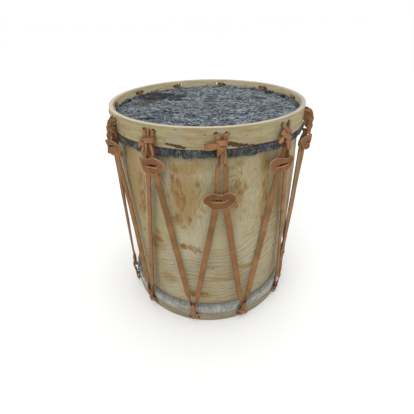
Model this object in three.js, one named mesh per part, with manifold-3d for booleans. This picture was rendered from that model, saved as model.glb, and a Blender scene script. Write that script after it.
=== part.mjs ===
// Bombo leguero: a deep drum hollowed from one trunk, with a hide lapped round a hidden flesh
// hoop at each end, a bent counter-hoop that presses on each lapped hide, and one long flat
// leather lace that zigzags between knotted beckets. A leather tab slides on each pair of lace
// legs to tighten the heads.
// Millimetres, +Z up, origin under the middle of the bottom hoop, front of the drum towards -Y.

import * as THREE from 'three';
import { mergeVertices } from 'three/addons/utils/BufferGeometryUtils.js';
import Module from 'manifold-3d';

const wasm = await Module();
wasm.setup();

// Overall
const drumHeight = 472;
const roundSteps = 50;
const fitGap = 0.3;
const slipGap = 0.4;

// Counter-hoops
const hoopRadius = 200;
const hoopThickness = 8;
const topHoopHeight = 37;
const bottomHoopHeight = 29;

// Heads: the hide lies below the rim and is lapped round the flesh hoop
const rimDrop = 18;
const hideThickness = 2.2;
const lapInset = 2;
const topFleshHeight = 8;
const bottomFleshHeight = 12;

// Trunk: turned down at both ends for the heads, barrelled between, fuller on one side
const wallThickness = 13;
const edgeRound = 2.6;
const shoulderGap = 2;
const shoulderHeight = 11;
const shoulderStep = 1.5;
const barrelRise = 4;
const sideRise = 3.5;
const sideRiseAngle = 75;

// Lace
const laceWidth = 12.5;
const laceThickness = 2.3;
const foldedWidth = 8.5;
const legSpacing = 15;
const turnRadius = 6.4;
const twistLength = 34;
const turnStandoff = 7.1;
const topTurnInset = 56.5;
const bottomTurnInset = 60;
const turnSteps = 6;
const twistSteps = 3;
const knotSides = 8;

// Loose ends of the knots
const topLongTail = { rootSide: 7.5, rootDrop: 0, run: 20, drop: 6, width: 10, endWidth: 8.5 };
const topShortTail = { rootSide: 6, rootDrop: 3, run: 4.5, drop: 14, width: 7, endWidth: 2.5 };
const bottomTail = { rootSide: 5, rootDrop: 0, run: 9, drop: -4, width: 6, endWidth: 4 };

// Beckets: each strip goes through a pair of hoop holes, is knotted, and holds a lace turn
const topBecket = {
  stripWidth: 7.2,
  stripThickness: 2,
  loopWidth: 6.2,
  frontWidth: 9,
  holeRadius: 4.35,
  holeSides: 8,
  holeSpacing: 18,
  holeInset: 11,
  knotInset: 27,
  knotWidth: 19,
  knotDepth: 6.6,
  wrapWidth: 8.5,
  wrapLean: 0.28,
  tails: [topLongTail, topShortTail],
};
const bottomBecket = {
  stripWidth: 4.4,
  stripThickness: 1.7,
  loopWidth: 6,
  frontWidth: 10.5,
  holeRadius: 3,
  holeSides: 6,
  holeSpacing: 21,
  holeInset: 11,
  knotInset: 22,
  knotWidth: 14,
  knotDepth: 5.6,
  wrapWidth: 8,
  wrapLean: 0.2,
  tails: [bottomTail],
};

// Sliding tabs: a bowed plate with a slit, and a sleeve behind it round the lace legs
const tabInset = 75;
const tabWidth = 57;
const tabHeight = 35;
const tabThickness = 2.6;
const tabBow = 7;
const tabStandoff = 6;
const slitLength = 19;
const slitHeight = 2.4;
const sleeveHeight = 12;
const sleeveWall = 2;
const sleeveGap = 0.45;
const sleeveBite = 2;

// Attachments round the drum: the top ones at an even pitch and the bottom ones halfway between,
// with each one off its place by a share of the pitch
const frontTopAngle = 6.4;
const frontTopIndex = 3;
const topAngleShares = [0.1, 0.02, -0.06, 0, 0.08, 0, -0.15, -0.11, -0.04, 0.01, 0.06];
const bottomAngleShares = [0.01, -0.01, 0.02, -0.055, 0.01, 0, 0.02, -0.01, -0.02, 0.01, 0];
const bottomTurnShares = [1, 0.93, 1.1, 0.93, 1.08, 1, 0.97, 0.96, 1.03, 0.98, 1.02];
const tabInsetShares = [1.08, 1.01, 0.99, 1.7, 1.08, 1.02, 1.09, 1.16, 1.04, 1.12, 1.07];
const tailSideShares = [-1, 1, -1, -1, -1, -1, 1, -1, -1, 1, -1];

// How far each tab leans out of level, and how far it and its legs face aside, in right angles
const tabTiltShares = [0.04, -0.03, 0.14, -0.03, 0.12, -0.1, 0.03, -0.02, 0.05, -0.05, 0.02];
const tabFacingShares = [0, 0.16, 0, 0, -0.12, -0.28, 0, 0, 0.04, 0, 0];

// A tab's outline as shares of half its width and half its height
const tabOutlineShares = [
  [-1, -0.3], [-0.52, -1], [0.45, -1], [0.96, -0.42],
  [1, 0.22], [0.5, 0.94], [-0.42, 1], [-0.97, 0.36],
];

// Sizes that follow
const hoopInner = hoopRadius - hoopThickness;
const hideOuter = hoopInner - slipGap;
const hideInner = hideOuter - hideThickness;
const seatRadius = hideInner - fitGap;
const lapRadius = hoopRadius - lapInset;
const fleshOuter = lapRadius - hideThickness - fitGap;
const fleshInner = seatRadius + slipGap;
const headTop = drumHeight - rimDrop;
const shellTop = headTop - hideThickness - fitGap;
const topLap = lapLevels(topHoopHeight, topFleshHeight);
const bottomLap = lapLevels(bottomHoopHeight, bottomFleshHeight);
const facetShare = Math.cos(Math.PI / roundSteps);
const turnRingRadius = hoopRadius + turnStandoff;
const tabRadius = hoopRadius + tabStandoff;
const attachments = topAngleShares.length;
const pitch = 360 / attachments;
const topAngles = topAngleShares.map(
  (share, index) => frontTopAngle + (index - frontTopIndex + share) * pitch,
);
const bottomAngles = topAngles.map((angle, index) => {
  const next = index + 1 < attachments ? topAngles[index + 1] : topAngles[0] + 360;
  return (angle + next) / 2 + bottomAngleShares[index] * pitch;
});
const bottomTurns = bottomTurnShares.map((share) => share * bottomTurnInset);
const tabHeights = tabInsetShares.map((share) => drumHeight - share * tabInset);
const rightAngle = 90;

// Heights of a lapped hide and the flesh hoop in it, as they lie at the top of the drum
function lapLevels(hoopHeight, fleshHeight) {
  const lapTop = drumHeight - hoopHeight - fitGap;
  const fleshTop = lapTop - hideThickness - fitGap;
  const fleshBottom = fleshTop - fleshHeight;
  return { lapTop, fleshTop, fleshBottom, lapBottom: fleshBottom - fitGap - hideThickness };
}

const colours = {
  trunk: 0xaaa27d,
  hoop: 0xa5966e,
  bottomHoop: 0x96876e,
  greyHide: 0x737d87,
  whiteHide: 0xbec3c3,
  hiddenHoop: 0x8a7350,
  leather: 0xb0704c,
};

const sideways = new THREE.Vector3(1, 0, 0);
const outwards = new THREE.Vector3(0, -1, 0);
const upwards = new THREE.Vector3(0, 0, 1);

// A closed geometry as a solid for joining and cutting, and back
function solidOf(geometry) {
  const bare = geometry.clone();
  bare.deleteAttribute('normal');
  bare.deleteAttribute('uv');
  const merged = mergeVertices(bare);
  const vertProperties = new Float32Array(merged.attributes.position.array);
  const triVerts = new Uint32Array(merged.index.array);
  return new wasm.Manifold(new wasm.Mesh({ numProp: 3, vertProperties, triVerts }));
}

function geometryOf(solid) {
  const mesh = solid.getMesh();
  const geometry = new THREE.BufferGeometry();
  geometry.setAttribute('position', new THREE.BufferAttribute(mesh.vertProperties, 3));
  geometry.setIndex(new THREE.BufferAttribute(mesh.triVerts, 1));
  geometry.computeVertexNormals();
  return geometry;
}

function joined(geometries) {
  const solids = geometries.map(solidOf);
  return geometryOf(solids.reduce((whole, next) => whole.add(next)));
}

// A profile of [radius, height] points, outside upwards, turned round +Z
function turned(points) {
  const profile = points.map(([radius, height]) => new THREE.Vector2(radius, height));
  return new THREE.LatheGeometry(profile, roundSteps).rotateX(Math.PI / 2);
}

// The same profile at the other end of the drum
function flipped(points) {
  return points.map(([radius, height]) => [radius, drumHeight - height]).reverse();
}

function turnedTo(vector, angle) {
  return vector.clone().applyAxisAngle(upwards, THREE.MathUtils.degToRad(angle));
}

// A place beside the drum, seen from outside at an angle from the front
function place(side, radius, height, angle = 0) {
  return turnedTo(new THREE.Vector3(side, -radius, height), angle);
}

// A flat strip swept through stations. Each has a point, a direction across the strip, a
// width and a thickness.
function strip(stations, closed = false) {
  const count = stations.length;
  const corners = [];
  stations.forEach(({ point, across, width, thickness }, index) => {
    const before = stations[closed ? (index + count - 1) % count : Math.max(index - 1, 0)];
    const after = stations[closed ? (index + 1) % count : Math.min(index + 1, count - 1)];
    const along = after.point.clone().sub(before.point).normalize();
    const level = across.clone().addScaledVector(along, -across.dot(along)).normalize();
    const through = along.clone().cross(level);
    for (const [a, t] of [[1, 1], [-1, 1], [-1, -1], [1, -1]]) {
      corners.push(point.clone()
        .addScaledVector(level, a * width / 2)
        .addScaledVector(through, t * thickness / 2));
    }
  });
  const faces = [];
  const spans = closed ? count : count - 1;
  for (let span = 0; span < spans; span += 1) {
    const near = span * 4;
    const far = ((span + 1) % count) * 4;
    for (let side = 0; side < 4; side += 1) {
      const next = (side + 1) % 4;
      faces.push(near + side, near + next, far + next);
      faces.push(near + side, far + next, far + side);
    }
  }
  if (!closed) {
    const last = (count - 1) * 4;
    faces.push(0, 2, 1, 0, 3, 2);
    faces.push(last, last + 1, last + 2, last, last + 2, last + 3);
  }
  const geometry = new THREE.BufferGeometry().setFromPoints(corners);
  geometry.setIndex(faces);
  geometry.computeVertexNormals();
  return geometry;
}

// Part of a quarter turn from one direction to another
function quarterTurn(from, to, share) {
  const turn = share * Math.PI / 2;
  return from.clone().multiplyScalar(Math.cos(turn)).addScaledVector(to, Math.sin(turn));
}

function shell() {
  const shoulderTop = topLap.lapBottom - shoulderGap;
  const shoulderBottom = drumHeight - bottomLap.lapBottom + shoulderGap;
  const shellBottom = drumHeight - shellTop;
  const bodyRadius = seatRadius + shoulderStep;
  const boreRadius = seatRadius - wallThickness;
  const span = shoulderTop - shoulderBottom - 2 * shoulderHeight;
  const levelShares = [0.2, 0.5, 0.8];
  const barrel = levelShares.map((share) => [
    bodyRadius + barrelRise * Math.sin(share * Math.PI),
    shoulderBottom + shoulderHeight + share * span,
  ]);
  const [boreMiddle] = barrel.slice(1).map(([radius, height]) => [radius - wallThickness, height]);
  const outline = [
    [boreRadius, shellBottom],
    [seatRadius - edgeRound, shellBottom],
    [seatRadius, shellBottom + edgeRound],
    [seatRadius, shoulderBottom],
    [bodyRadius, shoulderBottom + shoulderHeight],
    ...barrel,
    [bodyRadius, shoulderTop - shoulderHeight],
    [seatRadius, shoulderTop],
    [seatRadius, shellTop - edgeRound],
    [seatRadius - edgeRound, shellTop],
    [boreRadius, shellTop],
    boreMiddle,
    [boreRadius, shellBottom],
  ];
  const geometry = turned(outline);
  const fullest = turnedTo(outwards, sideRiseAngle);
  const position = geometry.attributes.position;
  const point = new THREE.Vector3();
  for (let index = 0; index < position.count; index += 1) {
    point.fromBufferAttribute(position, index);
    const share = (point.z - shoulderBottom) / (shoulderTop - shoulderBottom);
    if (share > 0 && share < 1) {
      const away = new THREE.Vector3(point.x, point.y, 0).normalize();
      const towards = (1 + away.dot(fullest)) / 2;
      point.addScaledVector(away, sideRise * Math.sin(share * Math.PI) ** 2 * towards ** 2);
      position.setXYZ(index, point.x, point.y, point.z);
    }
  }
  return geometry;
}

function hoop(becket, isTop) {
  const foot = isTop ? drumHeight - topHoopHeight : 0;
  const head = isTop ? drumHeight : bottomHoopHeight;
  const ring = turned([
    [hoopInner, foot],
    [hoopRadius, foot],
    [hoopRadius, head],
    [hoopInner, head],
    [hoopInner, foot],
  ]);
  const height = isTop ? drumHeight - becket.holeInset : becket.holeInset;
  const angles = isTop ? topAngles : bottomAngles;
  let solid = solidOf(ring);
  for (const angle of angles) {
    for (const side of [-1, 1]) {
      const { holeRadius, holeSides } = becket;
      const drill = new THREE.CylinderGeometry(
        holeRadius, holeRadius, 2 * hoopThickness, holeSides,
      );
      const middle = (hoopInner + hoopRadius) / 2;
      drill.translate(side * becket.holeSpacing / 2, -middle, height);
      drill.rotateZ(THREE.MathUtils.degToRad(angle));
      solid = solid.subtract(solidOf(drill));
    }
  }
  return geometryOf(solid);
}

// The hide is stretched over the trunk's edge, over the flesh hoop, down and in under it
function hideOutline({ lapTop, fleshTop, fleshBottom, lapBottom }) {
  return [
    [0, shellTop + fitGap],
    [seatRadius - edgeRound + fitGap, shellTop + fitGap],
    [hideInner, shellTop - edgeRound + fitGap],
    [hideInner, fleshTop + fitGap],
    [fleshOuter + fitGap, fleshTop + fitGap],
    [fleshOuter + fitGap, fleshBottom - fitGap],
    [hideInner, fleshBottom - fitGap],
    [hideInner, lapBottom],
    [lapRadius, lapBottom],
    [lapRadius, lapTop],
    [hideOuter, lapTop],
    [hideOuter, headTop - edgeRound - hideThickness / 2],
    [hideOuter - edgeRound - hideThickness / 2, headTop],
    [0, headTop],
  ];
}

function fleshOutline({ fleshTop, fleshBottom }) {
  return [
    [fleshInner, fleshBottom],
    [fleshOuter, fleshBottom],
    [fleshOuter, fleshTop],
    [fleshInner, fleshTop],
    [fleshInner, fleshBottom],
  ];
}

// A lace turn: a half circle whose flat side faces along the drum's radius
function turnStations(angle, height, isTop) {
  const stations = [];
  for (let step = 1; step < turnSteps; step += 1) {
    const swing = step / turnSteps * Math.PI;
    const side = -Math.cos(swing) * turnRadius;
    const rise = Math.sin(swing) * turnRadius * (isTop ? 1 : -1);
    stations.push({
      point: place(side, turnRingRadius, height + rise, angle),
      across: turnedTo(outwards, angle),
      width: foldedWidth,
      thickness: laceThickness,
    });
  }
  return stations;
}

// The lace between a flat place and a turn's end, where it twists on edge and narrows. Where
// it starts it faces aside by the angle given.
function twistStations(flatPoint, turnPoint, turnAngle, aside) {
  const reach = flatPoint.distanceTo(turnPoint);
  const start = Math.max(0, 1 - twistLength / reach);
  const stations = [];
  const first = start > 0 ? 0 : 1;
  for (let step = first; step <= twistSteps; step += 1) {
    const share = step / twistSteps;
    const point = flatPoint.clone().lerp(turnPoint, start + share * (1 - start));
    const twist = THREE.MathUtils.smoothstep(share, 0, 1);
    const angle = turnAngle + aside * (1 - twist);
    stations.push({
      point,
      across: quarterTurn(turnedTo(sideways, angle), turnedTo(outwards, angle), twist),
      width: laceWidth + (foldedWidth - laceWidth) * twist,
      thickness: laceThickness,
    });
  }
  return stations;
}

// One leg from its bottom turn up to its top turn, on the left or right of a top attachment
function legStations(index, side) {
  const topAngle = topAngles[index];
  const turnIndex = side < 0 ? (index + attachments - 1) % attachments : index;
  const bottomAngle = bottomAngles[turnIndex];
  const aside = tabFacingShares[index] * rightAngle;
  const flat = (height) => ({
    point: place(0, tabRadius, height, topAngle)
      .add(place(side * legSpacing / 2, 0, 0, topAngle + aside)),
    across: turnedTo(sideways, topAngle + aside),
    width: laceWidth,
    thickness: laceThickness,
  });
  const under = flat(tabHeights[index] - sleeveHeight / 2);
  const over = flat(tabHeights[index] + sleeveHeight / 2);
  const bottomEnd = place(-side * turnRadius, turnRingRadius, bottomTurns[turnIndex], bottomAngle);
  const topEnd = place(side * turnRadius, turnRingRadius, drumHeight - topTurnInset, topAngle);
  return [
    ...twistStations(under.point, bottomEnd, bottomAngle, aside).reverse(),
    under,
    over,
    ...twistStations(over.point, topEnd, topAngle, aside),
  ];
}

function lace() {
  const route = topAngles.flatMap((angle, index) => [
    ...legStations(index, -1),
    ...turnStations(angle, drumHeight - topTurnInset, true),
    ...legStations(index, 1).reverse(),
    ...turnStations(bottomAngles[index], bottomTurns[index], false),
  ]);
  return strip(route, true);
}

// A becket at the front of the drum, holding a lace turn. Heights are insets from its rim.
function becketGeometry(becket, turnInset, isTop, tailSide) {
  const { stripWidth, stripThickness, loopWidth, frontWidth, holeInset, knotInset } = becket;
  const half = becket.holeSpacing / 2;
  const heightAt = (inset) => (isTop ? drumHeight - inset : inset);
  const at = (side, radius, inset) => place(side, radius, heightAt(inset));
  const band = (point, across, width) => (
    { point, across, width, thickness: stripThickness }
  );
  const wallAtHoles = Math.sqrt((hoopInner * facetShare) ** 2 - half ** 2);
  const bridgeRadius = wallAtHoles - fitGap - stripThickness / 2;
  const outRadius = hoopRadius + slipGap + stripThickness / 2;
  const knotRadius = hoopRadius + slipGap + (becket.knotDepth + stripThickness) / 2;
  const bend = stripThickness;

  // Out of one hole and into the knot, from the middle of the bridge
  const strand = (side) => {
    const flatwise = sideways.clone().multiplyScalar(side);
    const x = side * half;
    const knotSide = side * (stripWidth + slipGap) / 2;
    return [
      band(at(x - side * bend, bridgeRadius, holeInset), upwards, stripWidth),
      band(at(x, bridgeRadius + bend, holeInset), upwards, stripWidth),
      band(at(x, hoopRadius, holeInset), flatwise, stripWidth),
      band(at(x, outRadius + bend / 2, holeInset + bend), flatwise, stripWidth),
      band(at(knotSide, knotRadius, knotInset - becket.wrapWidth / 4), flatwise, stripWidth),
    ];
  };
  const bridge = strip([...strand(-1).reverse(), ...strand(1)]);

  // Down in front of the lace turn, through it and up behind
  const turnBore = (turnRadius - laceThickness / 2) * Math.cos(Math.PI / turnSteps / 2);
  const seatRise = Math.sqrt(turnBore ** 2 - (loopWidth / 2) ** 2);
  const seatInset = turnInset - seatRise + fitGap + stripThickness / 2;
  const reach = (foldedWidth + stripThickness) / 2 + fitGap;
  const clearInset = turnInset - turnRadius - laceThickness;
  const loopSide = (sign, width) => [
    band(at(0, knotRadius + sign * becket.knotDepth / 4, knotInset + becket.wrapWidth / 4),
      sideways, loopWidth),
    band(at(0, turnRingRadius + sign * reach, clearInset), sideways, width),
    band(at(0, turnRingRadius + sign * reach, seatInset), sideways, loopWidth),
  ];
  const loop = strip([...loopSide(1, frontWidth), ...loopSide(-1, loopWidth).reverse()]);

  // The knot: a band pulled tight round all the strands, leaning towards the long tail
  const knotOutline = new THREE.Shape();
  knotOutline.absellipse(0, 0, becket.knotWidth / 2, (becket.knotDepth + stripThickness) / 2,
    0, 2 * Math.PI);
  const knot = new THREE.ExtrudeGeometry(knotOutline, {
    depth: becket.wrapWidth, curveSegments: knotSides / 2, bevelEnabled: false,
  });
  knot.translate(0, 0, -becket.wrapWidth / 2);
  const lean = new THREE.Matrix4().set(
    1, 0, 0, 0,
    0, 1, 0, 0,
    (isTop ? -1 : 1) * tailSide * becket.wrapLean, 0, 1, 0,
    0, 0, 0, 1,
  );
  knot.applyMatrix4(lean);
  knot.translate(0, -knotRadius, heightAt(knotInset));

  const tails = becket.tails.map((tail) => {
    const start = at(tailSide * tail.rootSide, knotRadius, knotInset + tail.rootDrop);
    const end = at(tailSide * (tail.rootSide + tail.run), knotRadius,
      knotInset + tail.rootDrop + tail.drop);
    const middle = start.clone().lerp(end, 1 / 2);
    middle.addScaledVector(outwards, becket.knotDepth / 4);
    const along = end.clone().sub(start);
    const across = new THREE.Vector3(-along.z, 0, along.x).normalize();
    return strip([
      band(start, across, tail.width / 2),
      band(middle, across, tail.width),
      band(end, across, tail.endWidth),
    ]);
  });
  return joined([knot, bridge, loop, ...tails]);
}

function tabGeometry(tilt) {
  const plateBack = laceThickness / 2 + sleeveGap;
  const outline = new THREE.Shape(tabOutlineShares.map(
    ([x, z]) => new THREE.Vector2(x * tabWidth / 2, z * tabHeight / 2),
  ));
  const slit = new THREE.Path([
    new THREE.Vector2(-slitLength / 2, -slitHeight / 2),
    new THREE.Vector2(-slitLength / 2, slitHeight / 2),
    new THREE.Vector2(slitLength / 2, slitHeight / 2),
    new THREE.Vector2(slitLength / 2, -slitHeight / 2),
  ]);
  outline.holes.push(slit);
  const plate = new THREE.ExtrudeGeometry(outline, { depth: tabThickness, bevelEnabled: false });
  plate.rotateX(Math.PI / 2);
  const position = plate.attributes.position;
  for (let index = 0; index < position.count; index += 1) {
    const bow = tabBow * (position.getZ(index) * 2 / tabHeight) ** 2;
    position.setY(index, position.getY(index) - plateBack - bow);
  }
  plate.rotateY(tilt);

  const innerHalf = (legSpacing + laceWidth) / 2 + sleeveGap;
  const outerHalf = innerHalf + sleeveWall;
  const front = -plateBack - sleeveBite;
  const sleeve = new THREE.ExtrudeGeometry(new THREE.Shape([
    new THREE.Vector2(-outerHalf, front),
    new THREE.Vector2(-innerHalf, front),
    new THREE.Vector2(-innerHalf, plateBack),
    new THREE.Vector2(innerHalf, plateBack),
    new THREE.Vector2(innerHalf, front),
    new THREE.Vector2(outerHalf, front),
    new THREE.Vector2(outerHalf, plateBack + sleeveWall),
    new THREE.Vector2(-outerHalf, plateBack + sleeveWall),
  ]), { depth: sleeveHeight, bevelEnabled: false });
  sleeve.translate(0, 0, -sleeveHeight / 2);
  return joined([plate, sleeve]);
}

const drum = new THREE.Group();

function add(parent, name, geometry, colour, roughness) {
  const finish = new THREE.MeshStandardMaterial({ color: colour, roughness, metalness: 0 });
  const mesh = new THREE.Mesh(geometry, finish);
  mesh.name = name;
  parent.add(mesh);
  return mesh;
}

add(drum, 'shell', shell(), colours.trunk, 0.6);
add(drum, 'top_hoop', hoop(topBecket, true), colours.hoop, 0.55);
add(drum, 'bottom_hoop', hoop(bottomBecket, false), colours.bottomHoop, 0.55);
add(drum, 'top_skin', turned(hideOutline(topLap)), colours.greyHide, 0.9);
add(drum, 'bottom_skin', turned(flipped(hideOutline(bottomLap))), colours.whiteHide, 0.9);
add(drum, 'top_flesh_hoop', turned(fleshOutline(topLap)), colours.hiddenHoop, 0.7);
add(drum, 'bottom_flesh_hoop', turned(flipped(fleshOutline(bottomLap))), colours.hiddenHoop, 0.7);
add(drum, 'tension_lace', lace(), colours.leather, 0.65);

for (let index = 0; index < attachments; index += 1) {
  const number = index + 1;
  const topPlace = new THREE.Group();
  topPlace.rotation.z = THREE.MathUtils.degToRad(topAngles[index]);
  drum.add(topPlace);
  add(topPlace, `top_becket_${number}`,
    becketGeometry(topBecket, topTurnInset, true, tailSideShares[index]), colours.leather, 0.65);
  const tilt = THREE.MathUtils.degToRad(tabTiltShares[index] * rightAngle);
  const tab = add(topPlace, `tension_tab_${number}`, tabGeometry(tilt), colours.leather, 0.6);
  tab.position.set(0, -tabRadius, tabHeights[index]);
  tab.rotation.z = THREE.MathUtils.degToRad(tabFacingShares[index] * rightAngle);

  const bottomPlace = new THREE.Group();
  bottomPlace.rotation.z = THREE.MathUtils.degToRad(bottomAngles[index]);
  drum.add(bottomPlace);
  add(bottomPlace, `bottom_becket_${number}`,
    becketGeometry(bottomBecket, bottomTurns[index], false, -tailSideShares[index]),
    colours.leather, 0.65);
}

export default drum;
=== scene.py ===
# Looks of the bombo leguero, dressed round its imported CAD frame.
# Metres, in the CAD's own frame: +Z up, the front of the drum towards -Y.
import math

import bmesh
import bpy
import numpy as np
from mathutils import Matrix, Vector, noise


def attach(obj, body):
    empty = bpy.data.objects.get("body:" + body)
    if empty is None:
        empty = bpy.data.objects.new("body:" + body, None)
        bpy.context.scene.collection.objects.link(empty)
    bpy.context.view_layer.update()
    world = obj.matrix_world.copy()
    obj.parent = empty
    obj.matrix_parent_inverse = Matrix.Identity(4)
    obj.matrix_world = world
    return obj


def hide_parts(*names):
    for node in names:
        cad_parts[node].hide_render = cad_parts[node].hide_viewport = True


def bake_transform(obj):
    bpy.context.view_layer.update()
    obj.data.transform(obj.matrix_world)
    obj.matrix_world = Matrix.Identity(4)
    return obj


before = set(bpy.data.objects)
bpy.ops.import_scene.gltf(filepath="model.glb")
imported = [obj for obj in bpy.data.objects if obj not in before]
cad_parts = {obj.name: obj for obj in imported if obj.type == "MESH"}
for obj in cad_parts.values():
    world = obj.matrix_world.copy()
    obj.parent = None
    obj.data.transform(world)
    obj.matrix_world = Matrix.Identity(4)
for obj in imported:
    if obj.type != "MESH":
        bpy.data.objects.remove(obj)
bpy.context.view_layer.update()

MM = 0.001

# Sizes repeated from the CAD source, in millimetres
DRUM_HEIGHT = 472
HOOP_RADIUS = 200
HOOP_INNER = 192
HIDE_THICKNESS = 2.2
SEAT_RADIUS = 189.1
HIDE_INNER = 189.4
HIDE_OUTER = 191.6
LAP_RADIUS = 198
FLESH_OUTER = 195.5
HEAD_TOP = 454
SHELL_TOP = 451.5
FIT_GAP = 0.3
EDGE_ROUND = 2.6
WALL_THICKNESS = 13
SHOULDER_GAP = 2
SHOULDER_HEIGHT = 11
SHOULDER_STEP = 1.5
BARREL_RISE = 4
SIDE_RISE = 3.5
SIDE_RISE_ANGLE = 75

LACE_WIDTH = 12.5
LACE_THICKNESS = 2.3
FOLDED_WIDTH = 8.5
LEG_SPACING = 15
TURN_RADIUS = 6.4
TWIST_LENGTH = 34
TURN_RING_RADIUS = 207.1
TOP_TURN_INSET = 56.5
BOTTOM_TURN_INSET = 60
TAB_RADIUS = 206
TAB_THICKNESS = 2.6
TAB_INSET = 75
SLEEVE_HEIGHT = 12
PLATE_BACK = 1.6

ATTACHMENTS = 11
PITCH = 360 / ATTACHMENTS
TOP_ANGLE_SHARES = [0.1, 0.02, -0.06, 0, 0.08, 0, -0.15, -0.11, -0.04, 0.01, 0.06]
BOTTOM_ANGLE_SHARES = [0.01, -0.01, 0.02, -0.055, 0.01, 0, 0.02, -0.01, -0.02, 0.01, 0]
BOTTOM_TURN_SHARES = [1, 0.93, 1.1, 0.93, 1.08, 1, 0.97, 0.96, 1.03, 0.98, 1.02]
TAB_INSET_SHARES = [1.08, 1.01, 0.99, 1.7, 1.08, 1.02, 1.09, 1.16, 1.04, 1.12, 1.07]
TAB_TILTS = [0.04, -0.03, 0.14, -0.03, 0.12, -0.1, 0.03, -0.02, 0.05, -0.05, 0.02]
TAB_FACINGS = [0, 0.16, 0, 0, -0.12, -0.28, 0, 0, 0.04, 0, 0]
TAIL_SIDES = [-1, 1, -1, -1, -1, -1, 1, -1, -1, 1, -1]
TAB_HEIGHTS = [DRUM_HEIGHT - TAB_INSET * share for share in TAB_INSET_SHARES]
BOTTOM_TURNS = [BOTTOM_TURN_INSET * share for share in BOTTOM_TURN_SHARES]
TOP_ANGLES = [6.4 + (i - 3 + share) * PITCH for i, share in enumerate(TOP_ANGLE_SHARES)]
BOTTOM_ANGLES = [
    (a + (TOP_ANGLES[i + 1] if i + 1 < ATTACHMENTS else TOP_ANGLES[0] + 360)) / 2
    + BOTTOM_ANGLE_SHARES[i] * PITCH for i, a in enumerate(TOP_ANGLES)
]


def lap_levels(hoop_height, flesh_height):
    """Heights of a lapped hide and its flesh hoop, as they lie at the top of the drum."""
    lap_top = DRUM_HEIGHT - hoop_height - FIT_GAP
    flesh_top = lap_top - HIDE_THICKNESS - FIT_GAP
    flesh_bottom = flesh_top - flesh_height
    return lap_top, flesh_top, flesh_bottom, flesh_bottom - FIT_GAP - HIDE_THICKNESS


# By end of the drum, True for the top one: heights of hoop and flesh hoop, lap levels, and the lacing
# holes as (distance from the pair's middle, distance from the hoop's edge, radius)
HOOP_HEIGHTS = {True: 37, False: 29}
FLESH_HEIGHTS = {True: 8, False: 12}
LAPS = {top: lap_levels(HOOP_HEIGHTS[top], FLESH_HEIGHTS[top]) for top in (True, False)}
HOLES = {True: (9, 11, 4.35), False: (10.5, 11, 3)}
END_NAMES = {True: "top", False: "bottom"}
SHOULDER_TOP = LAPS[True][3] - SHOULDER_GAP
SHOULDER_BOTTOM = DRUM_HEIGHT - LAPS[False][3] + SHOULDER_GAP


# Places

def turn(side, out, up, angle=0.0):
    """A direction given as sideways, outwards and upwards at an angle round the drum."""
    a = math.radians(angle)
    return Vector((side * math.cos(a) + out * math.sin(a),
                   side * math.sin(a) - out * math.cos(a), up))


def place(side, radius, height, angle=0.0):
    """A point beside the drum, in metres, from millimetres."""
    return turn(side, radius, height, angle) * MM


def smoothstep(low, high, value):
    t = min(max((value - low) / (high - low), 0), 1)
    return t * t * (3 - 2 * t)


def wobble(point, scale, seed=0.0):
    """Smooth noise from -1 to 1 at a point in metres; scale is the size of its features in millimetres."""
    return noise.noise(point / (scale * MM) + Vector((seed, 1.7 * seed, -seed)))


def linked(name, data):
    """A new object with that data, in the scene."""
    made = bpy.data.objects.new(name, data)
    bpy.context.scene.collection.objects.link(made)
    return made


# Camera and light

CAMERA_DISTANCE = 0.6468
CAMERA_HEIGHT = 0.61966
CAMERA_PITCH = 0.5804
CAMERA_YAW = -0.0125
CAMERA_ROLL = -0.0201
FOCAL_PIXELS = 296.08
PICTURE_PIXELS = 414
CENTRE_PIXELS = (205.15, 207.02)
SENSOR_MM = 36


def make_camera():
    data = bpy.data.cameras.new("camera")
    camera = linked("camera", data)
    cp, sp = math.cos(CAMERA_PITCH), math.sin(CAMERA_PITCH)
    cy, sy = math.cos(CAMERA_YAW), math.sin(CAMERA_YAW)
    cr, sr = math.cos(CAMERA_ROLL), math.sin(CAMERA_ROLL)
    level_right = Vector((cy, -sy, 0))
    level_up = Vector((sy * sp, cy * sp, cp))
    forward = Vector((sy * cp, cy * cp, -sp))
    right = cr * level_right + sr * level_up
    up = -sr * level_right + cr * level_up
    rows = Matrix((right, up, -forward)).transposed()
    camera.matrix_world = Matrix.Translation((0, -CAMERA_DISTANCE, CAMERA_HEIGHT)) @ rows.to_4x4()
    data.sensor_width = SENSOR_MM
    data.lens = FOCAL_PIXELS / PICTURE_PIXELS * SENSOR_MM
    middle = PICTURE_PIXELS / 2
    data.shift_x = (middle - CENTRE_PIXELS[0]) / PICTURE_PIXELS
    data.shift_y = (CENTRE_PIXELS[1] - middle) / PICTURE_PIXELS
    data.clip_start = 0.01
    data.clip_end = 200
    bpy.context.scene.camera = camera


def area_light(name, location, target, size, power, colour=(1, 1, 1)):
    data = bpy.data.lights.new(name, "AREA")
    data.shape = "DISK"
    data.size = size
    data.energy = power
    data.color = colour
    light = linked(name, data)
    light.location = location
    aim = Vector(target) - Vector(location)
    light.rotation_euler = aim.to_track_quat("-Z", "Y").to_euler()


def make_light():
    scene = bpy.context.scene
    scene.view_settings.view_transform = "Standard"
    scene.view_settings.look = "None"
    world = bpy.data.worlds.new("studio")
    world.use_nodes = True
    background = world.node_tree.nodes["Background"]
    background.inputs["Color"].default_value = (1.0, 1.0, 1.0, 1)
    background.inputs["Strength"].default_value = 1.02
    scene.world = world
    area_light("key", (-0.9, -1.3, 2.1), (0, 0, 0.3), 1.6, 9, (1.0, 0.99, 0.97))
    area_light("overhead", (0.3, 0.5, 2.4), (0, 0, 0.4), 1.8, 6)
    area_light("side", (1.8, -0.7, 1.1), (0, 0, 0.25), 1.2, 2, (0.98, 0.99, 1.0))


# Materials

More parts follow.
